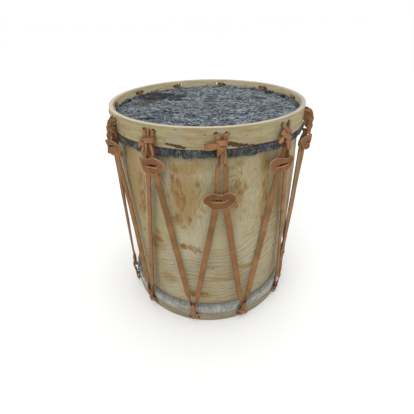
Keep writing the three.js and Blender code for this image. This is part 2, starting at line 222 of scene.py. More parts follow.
def linear(red, green, blue):
    """A colour read in 0-255 display values, as the shader wants it."""
    def one(value):
        value /= 255
        return value / 12.92 if value <= 0.04045 else ((value + 0.055) / 1.055) ** 2.4
    return (one(red), one(green), one(blue), 1)


class Finish:
    """A node material under construction."""

    def __init__(self, name, roughness, specular):
        self.material = bpy.data.materials.new(name)
        self.material.use_nodes = True
        self.tree = self.material.node_tree
        self.shader = self.tree.nodes["Principled BSDF"]
        self.shader.inputs["Roughness"].default_value = roughness
        self.shader.inputs["Specular IOR Level"].default_value = specular
        self.co = self.make("ShaderNodeTexCoord").outputs["Object"]

    def make(self, kind, **settings):
        node = self.tree.nodes.new(kind)
        for key, value in settings.items():
            setattr(node, key, value)
        return node

    def put(self, socket, value):
        if isinstance(value, bpy.types.NodeSocket):
            self.tree.links.new(value, socket)
        else:
            socket.default_value = value

    def math(self, operation, a, b=0.0, clamp=False):
        node = self.make("ShaderNodeMath", operation=operation, use_clamp=clamp)
        self.put(node.inputs[0], a)
        self.put(node.inputs[1], b)
        return node.outputs[0]

    def times(self, a, b):
        return self.math("MULTIPLY", a, b)

    def plus(self, a, b):
        return self.math("ADD", a, b)

    def minus(self, a, b):
        return self.math("SUBTRACT", a, b)

    def vector(self, operation, a, b=(0, 0, 0)):
        node = self.make("ShaderNodeVectorMath", operation=operation)
        self.put(node.inputs[0], a)
        self.put(node.inputs[1], b)
        return node.outputs["Value" if operation == "LENGTH" else "Vector"]

    def stretched(self, vector, x, y, z):
        return self.vector("MULTIPLY", vector, (x, y, z))

    def side_and_height(self):
        split = self.make("ShaderNodeSeparateXYZ")
        self.put(split.inputs[0], self.co)
        return split.outputs["X"], split.outputs["Z"]

    def noise(self, scale, detail=4.0, roughness=0.55, distortion=0.0, co=None, colour=False):
        node = self.make("ShaderNodeTexNoise")
        self.put(node.inputs["Vector"], self.co if co is None else co)
        for key, value in (("Scale", scale), ("Detail", detail), ("Roughness", roughness),
                           ("Distortion", distortion)):
            self.put(node.inputs[key], value)
        return node.outputs["Color" if colour else "Fac"]

    def drift(self, scale, roughness, amount):
        """Smooth noise about zero."""
        return self.times(self.minus(self.noise(scale, 2.0, roughness), 0.5), amount)

    def cells(self, scale):
        node = self.make("ShaderNodeTexVoronoi")
        self.put(node.inputs["Vector"], self.co)
        self.put(node.inputs["Scale"], scale)
        return node.outputs["Distance"]

    def span(self, value, low, high, to_low=0.0, to_high=1.0):
        node = self.make("ShaderNodeMapRange", interpolation_type="SMOOTHSTEP")
        for key, given in (("Value", value), ("From Min", low), ("From Max", high),
                           ("To Min", to_low), ("To Max", to_high)):
            self.put(node.inputs[key], given)
        return node.outputs["Result"]

    def mix(self, share, a, b):
        node = self.make("ShaderNodeMix", data_type="RGBA")
        self.put(node.inputs[0], share)
        self.put(node.inputs[6], a)
        self.put(node.inputs[7], b)
        return node.outputs[2]

    def layered(self, base, layers):
        """Lays colours over a base, each given as (mask, share of the mask, colour)."""
        for mask, share, colour in layers:
            base = self.mix(mask if share == 1 else self.times(mask, share), base, colour)
        return base

    def warped(self, scale, amount):
        """The coordinates, moved about by smooth noise; amount is in metres."""
        push = self.vector("SUBTRACT", self.noise(scale, 2.0, colour=True), (0.5, 0.5, 0.5))
        return self.vector("ADD", self.co, self.stretched(push, amount, amount, amount))

    def blob(self, co, centre, radii):
        """1 inside an ellipsoid and 0 outside, softly."""
        away = self.vector("SUBTRACT", co, tuple(centre))
        away = self.vector("MULTIPLY", away, tuple(1 / r for r in radii))
        return self.span(self.vector("LENGTH", away), 1.0, 0.35)

    def total(self, values):
        whole = values[0]
        for value in values[1:]:
            whole = self.math("MAXIMUM", whole, value)
        return whole

    def bump(self, height, depth, strength):
        node = self.make("ShaderNodeBump")
        self.put(node.inputs["Height"], height)
        self.put(node.inputs["Distance"], depth)
        self.put(node.inputs["Strength"], strength)
        self.put(self.shader.inputs["Normal"], node.outputs["Normal"])

    def colour(self, value):
        self.put(self.shader.inputs["Base Color"], value)

    def rough(self, value):
        self.put(self.shader.inputs["Roughness"], value)


def wall_blobs(finish, co, marks, radius=195):
    """Soft masks on the drum's side; marks are (angle, height, half width, half height) in mm."""
    return finish.total([
        finish.blob(co, place(0, radius, z, angle), (w * MM, w * MM, h * MM))
        for angle, z, w, h in marks
    ])


WOOD_PALE = linear(166, 158, 131)
WOOD_YELLOW = linear(156, 145, 106)
WOOD_TAN = linear(141, 118, 73)
WOOD_BROWN = linear(122, 88, 44)
WOOD_DARK = linear(98, 66, 34)
WOOD_GREY = linear(154, 148, 132)
RING_SPACING = 0.0108

# Brown heartwood, tanned areas and pale ones, as (angle, height, half width, half height)
TRUNK_BROWNS = [
    (-19.4, 378, 11, 18), (-18.5, 398, 12, 16), (-17.4, 359, 18, 30), (-15, 332, 17, 30),
    (-17.5, 291, 17, 20), (-14.6, 275.5, 11, 6.5), (-10.5, 290, 6.5, 14), (-41, 350, 15, 34),
    (-42, 316, 17, 38), (-44, 286, 16, 18), (-43, 266, 12, 8), (-56, 330, 12, 66),
    (-55.6, 396, 12, 18), (-13.5, 225, 27, 11), (-6.8, 217, 14, 9), (-21, 212, 12, 8),
    (-33, 226, 18, 9), (-32, 244, 12, 10), (-36, 210, 10, 20), (-45.8, 229, 9, 6),
    (16, 364, 8, 15), (18, 348, 9, 10), (14, 322, 12, 13), (20.7, 357, 8, 14),
    (34.6, 352, 12, 30), (34, 322, 10, 20), (32.7, 281, 7, 24), (31.6, 189, 7, 9),
    (1.6, 168, 16, 4), (-5, 87, 22, 7), (-11, 79, 22, 11), (-5, 374, 6, 22), (53, 384, 9, 40),
    (60, 343, 12, 60), (78, 300, 20, 60), (96, 180, 26, 30), (118, 330, 24, 70),
    (146, 250, 30, 44), (172, 350, 34, 50), (188, 140, 40, 18), (214, 300, 22, 66),
    (238, 210, 28, 34), (262, 340, 24, 60), (280, 150, 34, 20),
]
TRUNK_TANS = [
    (-10, 398, 44, 20), (-13, 340, 40, 90), (17, 402, 18, 14), (-50, 350, 40, 110), (33, 390, 16, 50),
    (33, 320, 14, 60), (-28, 118, 34, 26), (-6, 82, 54, 16), (46, 320, 22, 130), (62, 230, 26, 150),
    (-35, 215, 34, 30), (17, 350, 20, 44), (8, 128, 40, 8), (24, 160, 40, 10), (130, 280, 60, 90),
    (230, 250, 60, 90), (180, 120, 70, 40),
]
TRUNK_PALES = [
    (21.8, 384, 12, 26), (-4.2, 384, 10, 20), (-1, 300, 18, 60), (23, 282, 22, 36), (46, 259, 10, 24),
    (5, 240, 34, 26), (-25, 262, 12, 16), (-3, 150, 34, 22), (40, 150, 22, 40), (-33, 372, 10, 24),
    (170, 220, 50, 60), (100, 260, 40, 60), (250, 300, 40, 60),
]


def trunk_wood():
    f = Finish("trunk wood", 0.6, 0.16)
    side, height = f.side_and_height()
    high_half = f.span(height, 0.20, 0.34)
    low_half = f.span(f.minus(height, f.span(side, 0.05, 0.12, 0.0, 0.1)), 0.27, 0.17)

    # Upright fibres under the top hoop, swirling a little
    swirl = f.warped(26.0, 0.016)
    upright = f.stretched(swirl, 1.0, 1.0, 0.2)
    ripple = f.noise(210.0, 4.0, 0.6, 0.5, upright)
    streak = f.noise(420.0, 4.0, 0.65, 0.4, upright)
    fibres = f.plus(f.times(ripple, 0.6), f.times(streak, 0.4))
    fibre = f.times(f.span(fibres, 0.44, 0.62), f.plus(0.12, high_half))

    # Growth rings cross the wood as thin wavy lines, which rise to the right and at the far left
    rise = f.plus(f.times(f.span(side, 0.03, 0.16), f.span(height, 0.06, 0.3, 0.0, 0.056)),
                  f.times(f.span(side, -0.03, -0.17), -0.022))
    waves = f.plus(f.drift(13.0, 0.45, 0.036), f.drift(40.0, 0.5, 0.012))
    moved = f.plus(waves, f.minus(f.drift(190.0, 0.5, 0.0018), rise))
    ringed = f.math("FRACT", f.times(f.plus(height, moved), 1 / RING_SPACING))
    late = f.times(f.span(ringed, 0.3, 0.96), f.span(ringed, 1.0, 0.965))
    line = f.times(f.span(ringed, 0.74, 0.93), f.span(ringed, 1.0, 0.955))
    level = f.stretched(f.co, 1.0, 1.0, 2.6)
    broken = f.span(f.noise(24.0, 4.0, 0.65, 0.3, level), 0.36, 0.64, 0.08, 1.0)
    rings = f.times(f.times(line, broken), low_half)
    shade = f.times(f.times(late, broken), low_half)

    # Curly figure: thin contour lines of a smooth field, in the upper half
    field = f.noise(17.0, 2.0, 0.4, 0.4, f.stretched(swirl, 1.0, 1.0, 0.45))
    contour = f.math("FRACT", f.times(field, 26.0))
    curl = f.times(f.span(contour, 0.5, 0.92), f.span(contour, 1.0, 0.94))
    curl = f.times(curl, f.span(f.noise(30.0, 3.0, 0.6), 0.36, 0.58))
    curl = f.times(curl, high_half)

    # Brown heartwood shows as soft combed patches with fringed ends
    push = f.vector("SUBTRACT", f.noise(240.0, 2.0, 0.6, 0.2, upright, True), (0.5, 0.5, 0.5))
    combed = f.vector("ADD", f.warped(34.0, 0.014), f.stretched(push, 0.004, 0.004, 0.018))
    patch = f.span(wall_blobs(f, combed, TRUNK_BROWNS), 0.0, 1.0)
    soft = f.warped(16.0, 0.03)
    faint = f.span(f.noise(13.0, 4.0, 0.62, 0.8, f.stretched(f.co, 1, 1, 0.5)), 0.45, 0.7)
    # The wood is browner and darker towards the drum's flanks as seen from the front: partly browner wood,
    # partly painted shade where the sides turn from the light
    flank = f.span(f.math("ABSOLUTE", side), 0.1, 0.19, 0.0, 0.42)

    base = f.mix(f.span(f.noise(10.0, 4.0, 0.55, 0.3), 0.36, 0.66), WOOD_PALE, WOOD_YELLOW)
    f.colour(f.layered(base, [
        (f.times(low_half, f.span(f.noise(9.0, 3.0), 0.42, 0.62, 0.0, 0.6)), 1, WOOD_GREY),
        (faint, 0.4, WOOD_TAN),
        (wall_blobs(f, soft, TRUNK_TANS), 0.8, WOOD_TAN),
        (wall_blobs(f, soft, TRUNK_PALES), 0.7, WOOD_PALE),
        (fibre, 0.38, WOOD_TAN),
        (patch, 0.5, WOOD_TAN),
        (f.times(patch, f.span(fibres, 0.4, 0.6, 0.12, 0.95)), 1, WOOD_BROWN),
        (curl, 0.48, WOOD_BROWN),
        (shade, 0.36, WOOD_BROWN),
        (rings, 0.52, WOOD_DARK),
        (f.span(streak, 0.5, 0.75, 0.0, 0.14), 1, WOOD_DARK),
        # Browner wood and painted shade towards the flanks
        (f.times(flank, f.span(faint, 0.0, 1.0, 0.5, 1.0)), 1, WOOD_BROWN),
    ]))
    f.rough(f.span(ripple, 0.3, 0.7, 0.52, 0.68))
    relief = f.plus(f.times(ripple, 0.5), f.times(rings, -0.5))
    f.bump(f.plus(relief, f.times(streak, 0.2)), 0.0006, 0.4)
    return f.material


# Bark left along the hoop's lower edge, and nails, knots and stains
HOOP_SCARS = [
    (8.6, 446.4, 6, 4.4), (10.4, 444.8, 8, 4.8), (12.6, 442.4, 8, 4.8), (15.2, 440.2, 8, 4.6),
    (17.8, 438.8, 8, 3.4), (20.8, 437.4, 9, 2.2), (24.2, 436.4, 12, 1.8), (28.2, 436, 12, 1.7),
    (32.4, 435.7, 12, 1.5), (-19, 442.8, 7, 2.4), (-16.6, 441.8, 9, 3.2), (-13.8, 440, 9, 3.4),
    (-11.4, 438.4, 8, 2.4), (96, 438, 16, 3), (150, 441, 8, 4), (205, 437, 14, 2.4),
]
HOOP_SPECKS = [
    (-46.8, 459, 2, 3), (-47.4, 441.5, 2.6, 2), (-1.2, 460.8, 2, 1.7),
    (-20.6, 448.6, 3.4, 0.9), (-14.5, 468.3, 6, 0.7), (18.5, 455.5, 1.6, 1), (26, 454.2, 1.8, 1),
    (63, 452, 1.4, 1.2), (121, 457, 1.6, 1.1), (183, 446, 1.4, 1.4), (231, 462, 1.5, 1),
]
HOOP_STAINS = [
    (-6, 455, 26, 4), (3, 449, 18, 3), (-30, 462, 20, 3), (18, 462, 20, 3), (26, 446, 14, 3),
    (-42, 446, 16, 5), (44, 456, 18, 6), (-12, 441, 16, 3), (20, 442, 22, 4),
]


def bent_wood(name, top):
    f = Finish(name, 0.5, 0.35)
    side, height = f.side_and_height()
    # Grain runs round the hoop, so its features are long sideways and thin in height
    along = f.stretched(f.warped(9.0, 0.012), 1.0, 1.0, 8.0)
    grain = f.noise(26.0, 5.0, 0.62, 0.25, along)
    hair = f.noise(110.0, 4.0, 0.6, 0.1, along)
    broad = f.span(grain, 0.36, 0.66)
    pale, deep, grey = ((157, 145, 109), (137, 122, 82), (146, 137, 115)) if top else \
        ((141, 131, 107), (118, 105, 78), (127, 120, 104))

    # The inner face is painted paler, which is painted light against the shade inside the hoop, and the
    # flat rim is end-worn and paler
    away = f.vector("LENGTH", f.stretched(f.co, 1.0, 1.0, 0.0))
    inner_face_painted_light = f.mix(broad, linear(204, 194, 165), linear(184, 170, 131))
    worn = f.mix(f.span(f.noise(900.0, 2.0, 0.5, 0.0, f.stretched(away, 1.0, 1.0, 1.0)), 0.42, 0.6),
                 linear(203, 191, 172), linear(178, 160, 134))
    # Towards the drum's right the rim is painted greyer: painted shade on the side away from the light
    worn = f.mix(f.span(side, 0.1, 0.19, 0.0, 0.6), worn, linear(150, 146, 138))
    from_rim = f.math("ABSOLUTE", f.minus(height, DRUM_HEIGHT * MM if top else 0))
    base = f.layered(f.mix(broad, linear(*pale), linear(*deep)), [
        (f.span(f.noise(15.0, 3.0, 0.5), 0.48, 0.68, 0.0, 0.6), 1, linear(*grey)),
        (f.span(hair, 0.5, 0.72, 0.0, 0.3), 1, linear(122, 100, 62)),
        (f.span(away, 0.1945, 0.1925), 0.9, inner_face_painted_light),
        (f.span(from_rim, 0.0009, 0.0003), 0.85, worn),
    ])
    relief = f.times(grain, 0.6)
    if top:
        stain = wall_blobs(f, f.warped(60.0, 0.01), HOOP_STAINS, HOOP_RADIUS)
        scar = wall_blobs(f, f.warped(260.0, 0.0045), HOOP_SCARS, HOOP_RADIUS)
        gaps = f.span(f.noise(190.0, 3.0, 0.7, 0.0, f.stretched(f.co, 1, 1, 2)), 0.26, 0.36)
        scar = f.math("MULTIPLY", scar, gaps, True)
        bark = f.mix(f.span(f.noise(420.0, 3.0), 0.42, 0.66), linear(44, 26, 15), linear(100, 64, 30))
        speck = wall_blobs(f, f.warped(500.0, 0.001), HOOP_SPECKS, HOOP_RADIUS)
        base = f.layered(base, [
            (f.times(stain, f.span(hair, 0.4, 0.6, 0.4, 1.0)), 0.5, linear(132, 108, 66)),
            (f.span(scar, 0.04, 0.3), 1, bark),
            (speck, 0.9, linear(58, 48, 38)),
        ])
        relief = f.minus(relief, f.plus(scar, speck))
    f.colour(base)
    f.rough(f.span(grain, 0.3, 0.7, 0.42, 0.6))
    f.bump(relief, 0.0005, 0.5)
    return f.material


def hidden_wood():
    f = Finish("flesh hoop wood", 0.7, 0.2)
    grain = f.noise(90.0, 4.0, 0.6, 0.2, f.stretched(f.co, 1, 1, 6))
    f.colour(f.mix(f.span(grain, 0.35, 0.7), linear(150, 126, 84), linear(112, 88, 54)))
    f.bump(grain, 0.0004, 0.4)
    return f.material


def leather(name, tint, red=0.3, seam=False, worn=()):
    """Vegetable-tanned leather: hazy tone changes, fine pores, scuffs, and a drier cut edge."""
    def shade(red_share, green_share=None, blue_share=None):
        shares = (red_share, green_share or red_share, blue_share or red_share)
        return linear(*[min(255, c * share) for c, share in zip(tint, shares)])

    f = Finish(name, 0.66, 0.14)
    scuff = f.noise(150.0, 5.0, 0.68, 0.8)
    pores = f.cells(1150.0)
    each = f.make("ShaderNodeObjectInfo").outputs["Random"]
    base = f.layered(f.mix(f.span(f.noise(38.0, 4.0, 0.55, 0.3), 0.34, 0.68), shade(1.1), shade(0.88)), [
        (each, red, shade(0.98, 0.84, 0.78)),
        (f.span(scuff, 0.56, 0.8, 0.0, 0.42), 1, shade(0.66)),
        (f.span(scuff, 0.4, 0.22, 0.0, 0.3), 1, linear(206, 150, 112)),
        (f.span(pores, 0.0, 0.34, 0.16, 0.0), 1, shade(0.6)),
    ])
    if seam:
        base = f.mix(0.32, base, linear(206, 164, 128))
    if worn:
        # Darker in the places given
        mask = wall_blobs(f, f.warped(60.0, 0.012), worn, 208)
        base = f.layered(base, [(mask, 0.5, shade(0.74))])
    f.colour(base)
    f.rough(f.span(scuff, 0.3, 0.7, 0.5, 0.72))
    f.bump(f.plus(f.times(pores, 0.35), f.times(scuff, 0.65)), 0.0007, 0.6)
    return f.material


def fur(name, dark, mid, light, dark_spots=(), brown_spots=(), lie=(0.45, 1.15, 1.0)):
    """Short hair: each lock has its own tone, over tufts and patches that follow the hide."""
    f = Finish(name, 0.62, 0.25)
    lock = f.make("ShaderNodeNewGeometry").outputs["Random Per Island"]
    cloud = f.noise(24.0, 4.0, 0.6, 0.4)
    lying = f.stretched(f.warped(30.0, 0.02), *lie)
    clump = f.plus(f.times(f.noise(230.0, 3.0, 0.6, 0.3, lying), 0.6),
                   f.times(f.noise(95.0, 2.0, 0.6, 0.6, lying), 0.4))
    tone = f.plus(f.times(lock, 0.4), f.times(f.span(clump, 0.4, 0.6), 0.5))
    tone = f.plus(tone, f.times(f.minus(cloud, 0.5), 0.5))
    base = f.mix(f.span(tone, 0.08, 0.42), linear(*dark), linear(*mid))
    base = f.mix(f.span(tone, 0.42, 0.86), base, linear(*light))
    push = f.vector("SUBTRACT", f.noise(140.0, 2.0, 0.6, 0.0, lying, True), (0.5, 0.5, 0.5))
    soft = f.vector("ADD", f.warped(40.0, 0.035), f.vector("MULTIPLY", (0.03, 0.03, 0.0), push))
    for spots, colour, share in ((brown_spots, (84, 71, 52), 0.65),
                                 (dark_spots, [c * 0.8 for c in dark], 0.95)):
        if spots:
            mask = f.total([f.blob(soft, [c * MM for c in at], [r * MM for r in radii])
                            for at, radii in spots])
            mask = f.times(f.span(mask, 0.0, 0.55), f.span(tone, 0.6, 1.0, 1.0, 0.55))
            base = f.layered(base, [(mask, share, linear(*colour))])
    f.colour(base)
    f.shader.inputs["Sheen Weight"].default_value = 0.12
    f.shader.inputs["Sheen Roughness"].default_value = 0.5
    return f.material


def floor_paper():
    f = Finish("floor paper", 0.9, 0.1)
    f.colour(f.mix(f.noise(3.0, 2.0), linear(251, 252, 251), linear(253, 254, 253)))
    f.bump(f.noise(60.0), 0.0002, 0.1)
    return f.material


# Meshes

class Mesher:
    """Collects closed forms into one mesh."""

    def __init__(self):
        self.points, self.faces, self.kinds = [], [], []

    def add(self, points, faces, kinds=None):
        base = len(self.points)
        self.points += [tuple(p) for p in points]
        self.faces += [tuple(base + i for i in face) for face in faces]
        self.kinds += list(kinds) if kinds is not None else [0] * len(faces)

    def build(self, name, materials):
        mesh = bpy.data.meshes.new(name)
        mesh.from_pydata(self.points, [], self.faces)
        mesh.update()
        for material in materials:
            mesh.materials.append(material)
        mesh.polygons.foreach_set("material_index", self.kinds)
        mesh.polygons.foreach_set("use_smooth", [True] * len(mesh.polygons))
        mesh.set_sharp_from_angle(angle=math.radians(42))
        return linked(name, mesh)


def curved(rows, steps, closed=False):
    """Rows of numbers joined by a smooth curve, with so many steps between two rows."""
    rows = np.asarray(rows, float)
    count = len(rows)
    if closed:
        at = [rows[(i - 1) % count] for i in range(count + 3)]
    else:
        at = [2 * rows[0] - rows[1], *rows, 2 * rows[-1] - rows[-2]]
    made = []
    for i in range(count if closed else count - 1):
        a, b, c, d = at[i:i + 4]
        for step in range(steps):
            t = step / steps
            made.append(0.5 * (2 * b + (c - a) * t + (2 * a - 5 * b + 4 * c - d) * t * t
                               + (3 * b - a - 3 * c + d) * t ** 3))
    if not closed:
        made.append(rows[-1])
    return made


# A strip's section has 12 points, and these of its sides are cut edges
SECTION_POINTS = 12
CUT_SIDES = {3, 4, 5, 9, 10, 11}


def ribbon(mesher, stations, steps, closed=False, crown=0.0, rough=0.35, seed=0.0, kind=None):
    """A leather strip along stations of (point, across, width, thickness), lengths in metres.

    Its cut edges take the second material, or kind is the material of the whole strip. crown
    lifts the middle of the outer face.
    """
    rows = [[*point, *across, width, thickness] for point, across, width, thickness in stations]
    made = curved(rows, steps, closed)
    count = len(made)
    points, faces, kinds = [], [], []
    for i, row in enumerate(made):
        before = made[(i - 1) % count if closed else max(i - 1, 0)]
        after = made[(i + 1) % count if closed else min(i + 1, count - 1)]
        along = Vector(after[:3] - before[:3]).normalized()
        across = Vector(row[3:6])
        across = (across - along * across.dot(along)).normalized()
        through = along.cross(across)
        at = Vector(row[:3])
        half, thick = row[6] / 2, row[7] / 2
        left = half + rough * MM * wobble(at, 7, seed + 3)
        right = half + rough * MM * wobble(at, 7, seed + 8)
        lift = crown * thick * 2
        corner = 0.5 * thick
        for a, t in ((-left + corner, thick), (-left * 0.4, thick + lift * 0.8),
                     (right * 0.4, thick + lift * 0.8), (right - corner, thick),
                     (right, thick - corner), (right, corner - thick),
                     (right - corner, -thick), (right * 0.4, -thick + lift * 0.6),
                     (-left * 0.4, -thick + lift * 0.6), (-left + corner, -thick),
                     (-left, corner - thick), (-left, thick - corner)):
            points.append(at + across * a + through * t)
    ring = SECTION_POINTS
    for i in range(count if closed else count - 1):
        near, far = i * ring, ((i + 1) % count) * ring
        for side in range(ring):
            other = (side + 1) % ring
            faces.append((near + side, near + other, far + other, far + side))
            kinds.append(1 if side in CUT_SIDES else 0)
    if not closed:
        last = (count - 1) * ring
        faces += [tuple(range(ring))[::-1], tuple(range(last, last + ring))]
        kinds += [1, 1]
    mesher.add(points, faces, kinds if kind is None else [kind] * len(faces))


def rounded(outline, radius):
    """A closed outline of (radius, height) with its corners eased."""
    made, steps = [], 3
    count = len(outline)
    for i, corner in enumerate(outline):
        here = Vector(corner)
        if here.x < 1e-6:
            made.append(here)
            continue
        before, after = Vector(outline[i - 1]) - here, Vector(outline[(i + 1) % count]) - here
        reach = min(radius, before.length * 0.45, after.length * 0.45)
        start, end = here + before.normalized() * reach, here + after.normalized() * reach
        for step in range(steps + 1):
            t = step / steps
            made.append(start.lerp(here, t).lerp(here.lerp(end, t), t))
    return made


def filled_in(outline, longest):
    """The same closed outline with no side longer than that."""
    made = []
    for i, corner in enumerate(outline):
        here, after = Vector(corner), Vector(outline[(i + 1) % len(outline)])
        pieces = max(1, math.ceil((after - here).length / longest))
        if here.x < 1e-6 and after.x < 1e-6:
            pieces = 1
        made += [here.lerp(after, k / pieces) for k in range(pieces)]
    return made


def lathe(mesher, outline, steps, move):
    """Turns a closed outline of (radius, height) in millimetres round +Z; move shapes each point."""
    points, rings = [], []
    for radius, height in outline:
        if radius < 1e-6:
            rings.append([len(points)] * steps)
            points.append(Vector((0, 0, height * MM)))
            continue
        rings.append(list(range(len(points), len(points) + steps)))
        for k in range(steps):
            angle = 360 * k / steps
            points.append(move(place(0, radius, height, angle), radius, height, angle))
    faces = []
    for i, ring in enumerate(rings):
        other = rings[(i + 1) % len(rings)]
        for k in range(steps):
            n = (k + 1) % steps
            face = []
            for index in (ring[k], ring[n], other[n], other[k]):
                if index not in face:
                    face.append(index)
            if len(face) > 2:
                faces.append(face)
    mesher.add(points, faces)


def finish_piece(made, body, replaced):
    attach(made, body)
    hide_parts(replaced)


# Trunk and hoops

# How far the trunk's flanks stand out near its top, beyond the barrel
FLANK_RISE = 2.2
TRUNK_ROWS = 44
# Steps round the drum of each turned piece
TRUNK_STEPS = 192
HOOP_STEPS = 240
HIDE_STEPS = 128


def trunk():
    body = SEAT_RADIUS + SHOULDER_STEP
    bore = SEAT_RADIUS - WALL_THICKNESS
    shell_bottom = DRUM_HEIGHT - SHELL_TOP
    outline = [(bore, shell_bottom), (SEAT_RADIUS, shell_bottom), (SEAT_RADIUS, SHOULDER_BOTTOM)]
    low, high = SHOULDER_BOTTOM + SHOULDER_HEIGHT, SHOULDER_TOP - SHOULDER_HEIGHT
    for k in range(TRUNK_ROWS + 1):
        share = k / TRUNK_ROWS
        # The CAD's barrel has straight stretches between its levels
        rise = float(np.interp(share, [0, 0.2, 0.5, 0.8, 1], [0, 0.588, 1, 0.588, 0]))
        outline.append((body + BARREL_RISE * rise, low + share * (high - low)))
    outline += [(SEAT_RADIUS, SHOULDER_TOP), (SEAT_RADIUS, SHELL_TOP), (bore, SHELL_TOP)]
    outline += [(bore - 0.8 * math.sin(k / 12 * math.pi),
                 SHELL_TOP - k / 12 * (SHELL_TOP - shell_bottom)) for k in range(1, 12)]
    fullest = turn(0, 1, 0, SIDE_RISE_ANGLE)

    def shape(at, radius, height, angle):
        share = (height - SHOULDER_BOTTOM) / (SHOULDER_TOP - SHOULDER_BOTTOM)
        if radius < bore + 1 or not 0 < share < 1:
            return at
        away = turn(0, 1, 0, angle)
        towards = (1 + away.dot(fullest)) / 2
        swell = math.sin(share * math.pi) ** 2
        out = SIDE_RISE * swell * towards ** 2
        flank = smoothstep(0.55, 0.82, share) * (1 - smoothstep(0.93, 1, share))
        out += FLANK_RISE * away.x ** 2 * flank
        fade = min(1, 6 * share, 6 * (1 - share))
        out += fade * (0.7 * wobble(at, 90, 2) + 0.25 * wobble(at, 26, 5) + 0.08 * wobble(at, 9, 7))
        return at + away * out * MM

    mesher = Mesher()
    lathe(mesher, rounded(outline, EDGE_ROUND), TRUNK_STEPS, shape)
    finish_piece(mesher.build("trunk_shell", [trunk_wood()]), "drum", "shell")


def drill(hoop, holes):
    """Cuts the lacing holes; holes are (angle, side, height, radius) in mm."""
    mesh = bpy.data.meshes.new("drills")
    shape = bmesh.new()
    for angle, side, height, radius in holes:
        middle = (HOOP_INNER + HOOP_RADIUS) / 2
        at = place(side, middle, height, angle)
        turned = Matrix.Rotation(math.radians(angle), 4, "Z") @ Matrix.Rotation(math.pi / 2, 4, "X")
        bmesh.ops.create_cone(shape, cap_ends=True, segments=20, radius1=radius * MM,
                              radius2=radius * MM, depth=0.024,
                              matrix=Matrix.Translation(at) @ turned)
    shape.to_mesh(mesh)
    shape.free()
    cutter = linked("drills", mesh)
    cut = hoop.modifiers.new("holes", "BOOLEAN")
    cut.operation = "DIFFERENCE"
    cut.solver = "EXACT"
    cut.object = cutter
    evaluated = hoop.evaluated_get(bpy.context.evaluated_depsgraph_get())
    made = bpy.data.meshes.new_from_object(evaluated)
    hoop.modifiers.clear()
    old = hoop.data
    hoop.data = made
    bpy.data.meshes.remove(old)
    bpy.data.objects.remove(cutter)
    bpy.data.meshes.remove(mesh)
    made.polygons.foreach_set("use_smooth", [True] * len(made.polygons))
    made.set_sharp_from_angle(angle=math.radians(36))


# Where bark was left on the hoop's lower rim and broke off, as (angle, height, half width in degrees,
# depth)
BARK_HOLLOWS = [(12, 441, 9, 1.5), (20, 436.5, 10, 0.9), (-14, 440, 8, 0.8)]


def counter_hoop(top):
    foot = DRUM_HEIGHT - HOOP_HEIGHTS[True] if top else 0
    head = foot + HOOP_HEIGHTS[top]
    outline = rounded([(HOOP_INNER, foot), (HOOP_RADIUS, foot), (HOOP_RADIUS, head),
                       (HOOP_INNER, head)], 1.5)

    def shape(at, radius, height, angle):
        away = turn(0, 1, 0, angle)
        outer = smoothstep(HOOP_INNER + 2, HOOP_RADIUS - 2, radius)
        out = outer * (0.3 * wobble(at, 60, 1) + 0.12 * wobble(at, 14, 3))
        up = 0
        if top:
            for centre, z, half, deep in BARK_HOLLOWS:
                side = abs((angle - centre + 180) % 360 - 180) / half
                reach = max(0, 1 - side) * max(0, 1 - abs(height - z) / 6)
                ragged = 0.6 + 0.8 * wobble(at, 3.2, 9)
                out -= outer * deep * min(1, 1.6 * reach) * max(0, ragged)
            up = 0.25 * wobble(at, 70, 4)
        elif height > HOOP_HEIGHTS[False] / 2:
            up = 0.25 * wobble(at, 70, 4)
        return at + (away * out + Vector((0, 0, up))) * MM

    mesher = Mesher()
    lathe(mesher, filled_in(outline, 2.2), HOOP_STEPS, shape)
    word = END_NAMES[top]
    hoop = mesher.build(f"{word}_counter_hoop", [bent_wood(f"{word} hoop wood", top)])
    side, inset, radius = HOLES[top]
    drill(hoop, [(angle, way * side, DRUM_HEIGHT - inset if top else inset, radius)
                 for angle in (TOP_ANGLES if top else BOTTOM_ANGLES) for way in (-1, 1)])
    finish_piece(hoop, "drum", f"{word}_hoop")


# Hides and hair

def hide_outline(lap_top, flesh_top, flesh_bottom, lap_bottom):
    return [
        (0, SHELL_TOP + FIT_GAP), (SEAT_RADIUS, SHELL_TOP + FIT_GAP),
        (HIDE_INNER, SHELL_TOP - EDGE_ROUND), (HIDE_INNER, flesh_top + FIT_GAP),
        (FLESH_OUTER + FIT_GAP, flesh_top + FIT_GAP), (FLESH_OUTER + FIT_GAP, flesh_bottom - FIT_GAP),
        (HIDE_INNER, flesh_bottom - FIT_GAP), (HIDE_INNER, lap_bottom),
        (LAP_RADIUS, lap_bottom), (LAP_RADIUS, lap_top), (HIDE_OUTER, lap_top),
        (HIDE_OUTER, HEAD_TOP), (0, HEAD_TOP),
    ]


def hide(top, material):
    outline = rounded(hide_outline(*LAPS[top]), 1.8)
    if not top:
        outline = [Vector((r, DRUM_HEIGHT - z)) for r, z in reversed(outline)]
    skin_level = HEAD_TOP if top else DRUM_HEIGHT - HEAD_TOP

    def shape(at, radius, height, angle):
        if abs(height - skin_level) < 0.5 and radius < 180:
            at = at + Vector((0, 0, 0.5 * MM * wobble(at, 45, 6)))
        return at

    mesher = Mesher()
    lathe(mesher, filled_in(outline, 9), HIDE_STEPS, shape)
    return mesher.build(f"{END_NAMES[top]}_hide", [material])


